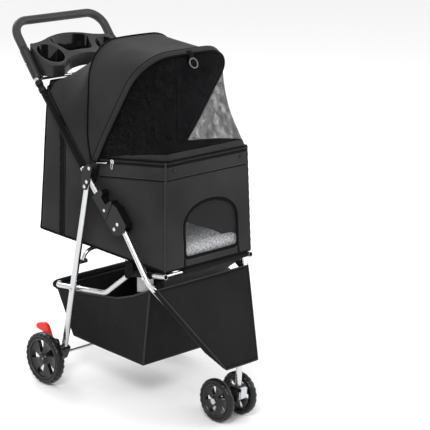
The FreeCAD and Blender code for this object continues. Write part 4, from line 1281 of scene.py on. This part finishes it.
def basket_wall(share, height):
    """A point on the basket's walls, from 0 at the floor to 1 at the mouth."""
    floor_corners = [(-117, 158, 117), (-119, 79, 117), (-120, 8, 117), (-120, -62, 117), (-121, -136, 117),
                     (113, -136, 117), (114, -62, 117), (115, 8, 117), (116, 79, 117), (117, 158, 117)]
    low = loop_at(floor_corners, share)
    high = basket_top(share)
    point = low.lerp(high, height)
    belly = hump(clamp(height))
    inward = Vector((-point.x, -point.y + 10, 0))
    inward = Vector((inward.x if abs(point.x) > 100 else 0, inward.y if abs(point.x) <= 100 else 0, 0))
    if inward.length:
        inward.normalize()
    place = (share % 1.0) * 10
    to_corner = min(abs(place - c) for c in (0, 4, 5, 9, 10))
    slack = smooth(to_corner)
    depth = belly * slack * (4.0 + 3.0 * ripple((point.x * 0.5, point.y * 0.5, point.z), 90, 3))
    depth += belly * ripple(point, 28, 7)
    return point + inward * depth


def make_basket():
    ring = shares(160)[:-1]
    rows = [[basket_wall(share, height) for share in ring] for height in shares(26)]
    # the basket's cloth is the darker fabric copy, painted shade under the cabin
    walls = cloth_surface("BasketWalls", rows, "fabric_painted_under_shade", 1.5, True)
    settle(walls, "support", BASKET_SQUASH, ("basket",))
    rows = []
    for k in range(17):
        y = lerp(157, -135, k / 16)
        half_left, half_right = lerp(117, 120, k / 16), lerp(117, 113, k / 16)
        rows.append([Vector((lerp(-half_left, half_right, i / 14), y,
                             117.5 - 2.0 * hump(i / 14) * hump(k / 16)))
                     for i in range(15)])
    floor = cloth_surface("BasketFloor", rows, "fabric_painted_under_shade", 1.5)
    settle(floor, "support", BASKET_SQUASH)
    lines = {
        "BasketRimPiping": [basket_top(share) + Vector((0, 0, 1)) for share in ring],
        "BasketFootPiping": [basket_wall(share, 0) for share in ring],
    }
    for line in lines.values():
        line.append(line[0])
    for index, share in enumerate((0.0, 0.4, 0.5, 0.9)):
        lines["BasketCornerPiping%d" % index] = [basket_wall(share, height) for height in shares(26)]
    for name, line in lines.items():
        # basket piping is the lighter piping copy, a painted highlight
        tube = cord_tube(name, line, 2.6 if name == "BasketRimPiping" else 2.3, "piping_painted_highlight", 8)
        settle(tube, "support", BASKET_SQUASH)
    make_rail_wrap()
    make_front_lift()
    make_care_label()


def make_rail_wrap():
    """The hem that wraps the basket's back edge round the rail's rear crossing."""
    low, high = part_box("support_tube")
    back = high.y * 1000 - 7
    height = low.z * 1000 + 7
    left = [(-151, back - 14, height + 1), (-143, back - 4, height), (-126, back, height)]
    line = left + [(-x, y, z) for x, y, z in reversed(left)]
    path = resample(rounded(line, 2), 7)
    wrap = cord_tube("RailWrap", path, 9.4, "fabric_painted_under_shade", 16,
                     swell=lambda s: 1 + 0.05 * ripple((s * 500, 0, 0), 20, 5))
    settle(wrap, "support")
    rows = []
    for share in shares(6):
        row = []
        for point in path:
            inside = Vector((math.copysign(min(abs(point.x), 147), point.x), min(point.y, 197), 252))
            outside = point + Vector((0, 2, -7))
            row.append(outside.lerp(inside, share) + Vector((0, 3 * hump(share), -2 * share)))
        rows.append(row)
    skirt = cloth_surface("RailSkirt", rows, "fabric_painted_under_shade", 1.4)
    settle(skirt, "support")


def make_front_lift():
    """The panel that hangs the basket's front from the cross bar."""
    rows = []
    for share in shares(12):
        row = []
        for across in shares(28):
            across = across * 2 - 1
            half = lerp(148, 146, share) - 26 * hump(share) * (1 if across > 0 else 0.12)
            y = lerp(-238, -184, share)
            z = lerp(392, 344, share) - 3 * hump(share)
            bulge = 3 * ripple((across * 150, 0, z), 50, 3) * hump(share)
            row.append(Vector((across * half, y + bulge, z)))
        rows.append(row)
    panel = cloth_surface("BasketFrontLift", rows, "fabric_painted_under_shade", 1.4)
    settle(panel, "support")
    line = [Vector((lerp(-86, 150, k / 40), -243, 402)) for k in range(41)]
    sleeve = cord_tube("CrossBarSleeve", line, 8.0, "fabric_painted_shade", 16,
                       swell=lambda s: 1 + 0.06 * ripple((s * 240, 0, 0), 16, 3))
    settle(sleeve, "support")
    for side, sign in SIDES:
        path = [Vector((sign * RAIL_X, y, z))
                for y, z in ((-113, 372.3), (-120, 377.6), (-134, 380.5), (-206, 393.4))]
        sleeve = cord_tube("RailSleeve" + side.title(), resample(rounded(path, 2), 3), 8.3, "fabric_painted_shade", 18)
        settle(sleeve, "support")


def make_care_label():
    """A blank pale label sewn inside the basket's left front corner."""
    rows = [[Vector((-128 + 2 * math.sin(i * 0.5 + share * 2), lerp(-112, -175, i / 14),
                     lerp(372 + i * 0.5, 318 + i * 1.2, share))) for i in range(15)]
            for share in shares(8)]
    label = cloth_surface("CareLabel", rows, "label", 0.8)
    settle(label, "support", BASKET_SQUASH)


def make_rail_straps():
    """Two webbing loops that hang the rail from the cabin's floor."""
    slope = math.radians(-28)
    forward = Vector((0, -math.cos(slope), -math.sin(slope)))
    upward = Vector((0, math.sin(-slope), math.cos(slope)))
    hug = ((-8.9, 2), (-8.2, -4), (-5, -7.8), (0, -9.2), (5, -7.8), (8.2, -4), (8.9, 2))
    for side, sign in SIDES:
        centre = Vector((sign * RAIL_X, -121, 377.4))
        rows = []
        for i in range(9):
            shift = lerp(-19, 19, i / 8)
            ring = [centre + Vector((x * sign, 0, 0)) + forward * shift + upward * up for x, up in hug]
            for index, x in ((0, -5.0), (-1, 5.0)):
                top = Vector((centre.x + x * sign, centre.y + 6 - shift * 0.75, FLOOR_Z - 1.5))
                steps = [ring[index].lerp(top, k / 5) for k in range(1, 6)]
                ring = list(reversed(steps)) + ring if index == 0 else ring + steps
            rows.append([p + Vector((0.6 * ripple(p, 14, 1), 0, 0)) for p in ring])
        strap = cloth_surface("RailStrap" + side.title(), rows, "strip", 1.6)
        settle(strap, "support", STRAP_SQUASH, ("rail_straps",) if sign < 0 else ())


# --- fork cover ---------------------------------------------------------------------------------

# the cover's left corners
COVER_HIGH = Vector((-167, -232, 364.5))
COVER_LOW = Vector((-58, -386, 164))


def make_fork_cover():
    """The stiff panel stretched between the fork's knees, piped on every edge."""
    outward = Vector((0, -1, -0.6)).normalized()
    rows = []
    for share in shares(20):
        row = []
        left = COVER_HIGH.lerp(COVER_LOW, share)
        for across in shares(24):
            point = Vector((lerp(left.x, -left.x, across), left.y, left.z))
            inside = hump(across) * hump(clamp(share * 0.9 + 0.05))
            point += outward * (1.5 + 2.2 * inside + 0.9 * ripple(point, 70, 5) * inside)
            row.append(point)
        rows.append(row)
    # the cover is the darker fabric copy, painted shade under the cabin
    panel = cloth_surface("ForkCover", rows, "fabric_painted_under_shade", 2.0)
    settle(panel, "fork", None, ("front_cover",))
    edge = [row[0] for row in rows] + rows[-1][1:] + [row[-1] for row in reversed(rows)][1:]
    edge += list(reversed(rows[0]))[1:]
    # cover piping is the lighter piping copy, a painted highlight
    piping = settle(cord_tube("ForkCoverPiping", edge, 2.1, "piping_painted_highlight", 8), "fork")
    for side, sign in SIDES:
        start = Vector((sign * 160, -232, 350))
        end = Vector((sign * 74, -345, 194))
        column = 0 if sign < 0 else -1
        sleeve_rows = []
        for share in shares(24):
            middle = start.lerp(end, share)
            edge_point = rows[0][column].lerp(rows[-1][column], share)
            sleeve_rows.append([edge_point, edge_point + Vector((sign * 4, 6, 3)),
                                middle + Vector((sign * 11, -2, 4)), middle + Vector((sign * 9, 10, 6))])
        sleeve = cloth_surface("ForkSleeve" + side.title(), sleeve_rows, "fabric_painted_under_shade", 1.4)
        settle(sleeve, "fork")
    for side, sign in SIDES:
        line = [(sign * 152, -226, 359), (sign * 143, -223, 372), (sign * 136, -214, 384)]
        tab = ribbon("ForkTab" + side.title(), rounded(line, 2), Vector((0, -0.8, 0.5)), 20, 2.4, "strip")
        settle(tab, "fork")


STEM_Y = -377
STEM_FOOT_Z, STEM_TOP_Z = 73, 165


def make_stem():
    """The bright stem under the cover and the moulded clamp that hides behind it."""
    line = [Vector((0, STEM_Y, lerp(STEM_FOOT_Z, STEM_TOP_Z, share))) for share in shares(12)]
    settle(cord_tube("ForkStem", line, 8, "tube", 32), "fork", None, ("fork_stem",))
    clamp_block = slab("StemClamp", [(-20, -374), (20, -374), (20, -352), (-20, -352)], 162, 172,
                       lambda u, v, w: Vector((u, v, w)), "plastic", 2.0)
    settle(clamp_block, "fork")


# --- wheels -------------------------------------------------------------------------------------

def make_wheel(kind, side, radius, width, tyre, hub):
    """One wheel: a dished rim with five swept spokes, and a tyre with scalloped shoulders."""
    suffix = "%s_%s" % (kind, side)
    low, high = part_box("%s_tyre_%s" % (kind, side))
    centre = (low + high) * 500
    body = "%s_wheel_%s" % (kind, side[0])
    inner = radius - tyre
    half = width / 2
    scallops = 26 if kind == "rear" else 22

    def tread(angle, index):
        shoulder = index in (1, 2, 6, 7)
        phase = 0.5 if index > 4 else 0.0
        wave = 0.5 + 0.5 * math.cos(scallops * angle + phase * 2 * math.pi)
        notch = smooth(wave * 1.6 - 0.3)
        if shoulder:
            return 1 - 0.030 * (1 - notch)
        return 1 - (0.006 * (1 - notch) if index in (3, 5) else 0.0)

    flank = [(inner + 1, -half + 3), (radius - 7, -half + 0.5), (radius - 2.5, -half + 3.2),
             (radius - 0.6, -half * 0.45)]
    profile = flank + [(radius - 0.2, 0)] + [(r, -x) for r, x in reversed(flank)] + [(inner, 0)]
    tyre_piece = lathe("Tyre_" + suffix, profile, "tyre", scallops * 10, tread)
    tyre_piece.matrix_world = Matrix.Translation(metres(centre))
    settle(tyre_piece, body, None, ("%s_tyre_%s" % (kind, side),))

    spin = 1 if side == "right" else -1
    disc = lathe("Rim_" + suffix, rim_profile(inner, half, hub), "wheel", 120)
    cutters = []
    for k in range(SPOKES):
        turn = 2 * math.pi * k / SPOKES + 0.35
        outline = spoke_window(hub + 5, inner - 7)
        points = [(r * math.cos(turn + a * spin), r * math.sin(turn + a * spin)) for r, a in outline]
        cutters.append(slab("Cutter", points, -width, width, lambda u, v, w: Vector((w, u, v)), "wheel"))
    join_boolean(disc, cutters, "DIFFERENCE")
    set_creases(disc, 30)
    disc.matrix_world = Matrix.Translation(metres(centre))
    settle(disc, body, None, ("%s_rim_%s" % (kind, side),))


def rim_profile(inner, half, hub):
    """(radius, x) round the section of a rim with a raised hub, a dished web and a rolled lip."""
    web = half * 0.36
    bore = 3.4
    side = [(bore, half - 1.5), (hub - 3, half - 1), (hub - 0.5, half - 3), (hub + 1.5, web + 2),
            (hub + 4, web + 0.6), (inner * 0.62, web), (inner - 9, web + 0.8), (inner - 6, web + 2.2),
            (inner - 5, half - 4), (inner - 3.5, half - 3), (inner - 0.3, half - 3.4)]
    return side + [(r, -x) for r, x in reversed(side)]


def spoke_window(low, high):
    """(radius, angle) round one swept opening between two spokes."""
    points = []
    for k in range(9):
        share = k / 8
        points.append((lerp(low, high, share), math.radians(16 - 26 * share + 14 * share * share)))
    for k in range(1, 8):
        points.append((high, math.radians(lerp(4, 34, k / 8))))
    for k in range(9):
        share = 1 - k / 8
        points.append((lerp(low, high, share), math.radians(46 - 34 * share + 22 * share * share)))
    return [tuple(p) for p in soften_outline(points)]


def soften_outline(points):
    loop = rounded([Vector((r, a * 30, 0)) for r, a in points], 2, True)
    return [(p.x, p.y / 30) for p in loop]


def make_wheels():
    for side in ("left", "right"):
        make_wheel("rear", side, radius=73.5, width=28, tyre=15, hub=13)
        make_wheel("front", side, radius=59.5, width=24, tyre=13, hub=11)


# --- rigid nodes --------------------------------------------------------------------------------

NODE_MATERIALS = {
    "tube": ("rear_leg_left", "rear_leg_right", "leg_brace", "handle_tube_left", "handle_tube_right",
             "grip_tube", "fork_tube", "support_tube", "front_cross_bar"),
    "chrome": ("rear_axle", "cross_rod", "caster_axle"),
    "ring": ("hook_ring",),
    "rivet": ("leg_rivets", "tray_screws", "bracket_rivets", "cap_rivets"),
    "plastic": ("axle_block_left", "axle_block_right", "tube_clips", "bracket_left", "bracket_right",
                "hinge_cap_left", "hinge_cap_right", "pivot_spacers", "latch_left", "latch_right",
                "caster_housing"),
    "grip": ("grip_cover",),
    "grey": ("caster_lock",),
    # the floor board and bows take the darker fabric copy, painted shade
    "fabric_painted_shade": ("floor_board", "rear_bow", "front_bow"),
}
BEVELLED = {"axle_block_left": 2.0, "axle_block_right": 2.0, "hinge_cap_left": 1.6, "hinge_cap_right": 1.6,
            "latch_left": 1.4, "latch_right": 1.4, "caster_housing": 1.6, "caster_lock": 1.2,
            "tube_clips": 1.0, "bracket_left": 0.6, "bracket_right": 0.6}


def dress_nodes():
    """Gives every CAD node that stays visible its material and softly rounded edges."""
    for material, names in NODE_MATERIALS.items():
        for name in names:
            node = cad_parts[name]
            node.data.materials.clear()
            node.data.materials.append(MATERIALS[material])
    for name, width in BEVELLED.items():
        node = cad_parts[name]
        weld = node.modifiers.new("Weld", "WELD")
        weld.merge_threshold = 0.00002
        add_bevel(node, width, 3)


# --- tray ---------------------------------------------------------------------------------------

def mirrored(points):
    """(x, y) points carried to the other side of the middle, in the order that goes on round."""
    return [(-x, y) for x, y in reversed(points)]


TRAY_FRONT = [(-146.5, 240), (-130, 229), (-104, 228), (-82, 239), (-60, 254), (-30, 262)]
TRAY_BACK = [(146.5, 329), (122, 327), (88, 334), (54, 347)]
TRAY_OUTLINE = TRAY_FRONT + [(0, 265)] + mirrored(TRAY_FRONT)
TRAY_OUTLINE += TRAY_BACK + [(0, 355)] + mirrored(TRAY_BACK)
WELL_SIDE = [(-69, 330), (-57, 312), (-49, 292), (-42, 278)]
WELL_OUTLINE = WELL_SIDE + [(0, 281)] + mirrored(WELL_SIDE) + [(48, 342), (0, 349), (-48, 342)]


CUP_RADIUS, CUP_WALL = 38.3, 2.7
CUP_FLOOR_Z, WELL_FLOOR_Z = 843.0, 870.0


def tray_top(y):
    """Height of the deck's slope at a place along the stroller."""
    return 897 + (y - 283) * math.tan(math.radians(25.2))


def loop_outline(points, passes=3):
    """A closed outline of (x, y) points with its corners rounded off."""
    return [(p.x, p.y) for p in rounded([Vector((x, y, 0)) for x, y in points], passes, True)]


def circle_outline(x, y, radius, count=72):
    return [(x + radius * math.cos(2 * math.pi * k / count), y + radius * math.sin(2 * math.pi * k / count))
            for k in range(count)]


def tray_block(name, outline, bottom, drop=0.0):
    """A vertical block from bottom(y) up to the tray's sloping top, less a drop."""
    def place(x, y, w):
        return Vector((x, y, lerp(bottom(y), tray_top(y) - drop, w)))
    return slab(name, outline, 0, 1, place, "tray")


def make_tray():
    """The moulded tray: a sloping deck with two glossy cups and a well, and an arm at each end."""
    deck = tray_block("CupTrayBody", loop_outline(TRAY_OUTLINE), lambda y: max(842.0, tray_top(y) - 35))
    cups = [tray_block("CupBody", circle_outline(sign * CUP_X, CUP_Y, CUP_RADIUS + CUP_WALL),
                       lambda y: CUP_FLOOR_Z - 3.5, 1.0) for sign in (-1, 1)]
    basin = tray_block("Basin", loop_outline([(x * 1.07, y + (y - 312) * 0.10) for x, y in WELL_OUTLINE]),
                       lambda y: WELL_FLOOR_Z - 4, 1.0)
    join_boolean(deck, cups + [basin], "UNION")
    hollows = [tray_block("CupHollow", circle_outline(sign * CUP_X, CUP_Y, CUP_RADIUS),
                          lambda y: CUP_FLOOR_Z, -40.0) for sign in (-1, 1)]
    hollows.append(tray_block("WellHollow", loop_outline(WELL_OUTLINE), lambda y: WELL_FLOOR_Z, -40.0))
    join_boolean(deck, hollows, "DIFFERENCE")
    paint_hollows_gloss_and_shade(deck)
    add_bevel(deck, 2.2, 3, 50)
    apply_modifiers(deck)
    set_creases(deck, 45)
    settle(deck, "handle", None, ("cup_tray",))
    slope = Vector((0, math.cos(GRIP_SLOPE), math.sin(GRIP_SLOPE)))
    for side, sign in SIDES:
        foot = Vector((sign * 156, BEND.y, BEND.z)) - slope * 6
        line = [foot + slope * lerp(0, 98, share) for share in shares(48)]
        arm = cord_tube("TrayArm" + side.title(), line, 13.6, "tray", 32, 1.0,
                        lambda s: 1.0 - 0.16 * smooth((s - 0.88) / 0.12) - 0.10 * smooth((0.06 - s) / 0.06))
        settle(arm, "handle")
        line = [foot + slope * (84 + k) for k in range(4)]
        ring = cord_tube("ArmSeam" + side.title(), line, 13.0, "grip", 32)
        settle(ring, "handle")
        outline = [(-4, 0), (78, 4), (88, 20), (60, 26), (12, 30), (-4, 22)]
        web = slab("TrayWeb" + side.title(), outline, -7, 5,
                   lambda u, v, w: foot + slope * u + Vector((-sign * (9 + w * 0.5), 0, 0))
                   + Vector((0, math.sin(GRIP_SLOPE), -math.cos(GRIP_SLOPE))) * (v - 12), "tray", 2.0)
        settle(web, "handle")


def paint_hollows_gloss_and_shade(deck):
    """Gloss inside the cups and the well, satin everywhere else; the gloss plastic's darker colour is
    painted shade in the hollows, its shine is real.
    """
    deck.data.materials.clear()
    deck.data.materials.append(MATERIALS["tray"])
    deck.data.materials.append(MATERIALS["gloss"])
    for face in deck.data.polygons:
        centre = face.center * 1000
        from_cup = math.hypot(abs(centre.x) - CUP_X, centre.y - CUP_Y)
        level = abs(face.normal.z) > 0.8 and centre.z > 845
        in_cup = from_cup < CUP_RADIUS + 0.3 and not level
        below_deck = WELL_FLOOR_Z - 0.5 < centre.z < tray_top(centre.y) - 1
        in_well = below_deck and abs(centre.x) < 70 and 277 < centre.y < 350
        face.material_index = 1 if in_cup or (in_well and from_cup > 42) else 0


BRAKE_PIN_Y, BRAKE_PIN_Z = 169.5, 107.5
LEVER_WIDTH = 0.62


def make_pedals():
    """Red foot levers: a narrow arm up from the brake pin and a rounded foot pad that leans back."""
    outline = [(-8, -7), (7, -8), (15, 9), (25, 27), (56, 28), (62, 34), (59, 44), (42, 50), (24, 53),
               (12, 45), (-3, 12)]
    soft = loop_outline(outline, 2)
    for side, sign in SIDES:
        low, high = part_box("brake_pedal_" + side)
        middle = (low.x + high.x) * 500
        half = (high.x - low.x) * 500
        lever = slab("BrakeLever" + side.title(), soft, -LEVER_WIDTH * half, LEVER_WIDTH * half,
                     lambda u, v, w: Vector((middle + w, BRAKE_PIN_Y + u, BRAKE_PIN_Z + v)), "red", 2.6, 4)
        settle(lever, "pedal_l" if sign < 0 else "pedal_r", None, ("brake_pedal_" + side,))


LATCH_RIVET_Y, LATCH_RIVET_Z = -41.8, 537.7


def make_latch_rivets():
    """A zinc rivet head on the outer face of each latch."""
    for side, sign in SIDES:
        low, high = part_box("latch_" + side)
        face = (low.x if sign < 0 else high.x) * 1000
        head = slab("LatchRivet" + side.title(), circle_outline(0, 0, 4.4, 28), -1.0, 2.0,
                    lambda u, v, w: Vector((face + sign * w, LATCH_RIVET_Y + u, LATCH_RIVET_Z + v)),
                    "rivet", 1.2)
        settle(head, "latch_l" if sign < 0 else "latch_r")


def make_hood_stops():
    """Short bright stop rods for the front bow, on the inside of each bracket."""
    for side, sign in SIDES:
        line = [Vector((sign * 163, lerp(16, -27, share), lerp(650.5, 659.5, share)))
                for share in shares(10)]
        settle(cord_tube("HoodStop" + side.title(), line, 2.4, "chrome", 14), "handle")


# --- build --------------------------------------------------------------------------------------

MATERIALS = make_materials()
make_camera()
make_stage()
dress_nodes()
make_hood()
make_mesh_front()
make_cabin()
make_cushion()
make_basket()
make_rail_straps()
make_fork_cover()
make_stem()
make_wheels()
make_tray()
make_pedals()
make_latch_rivets()
make_hood_stops()
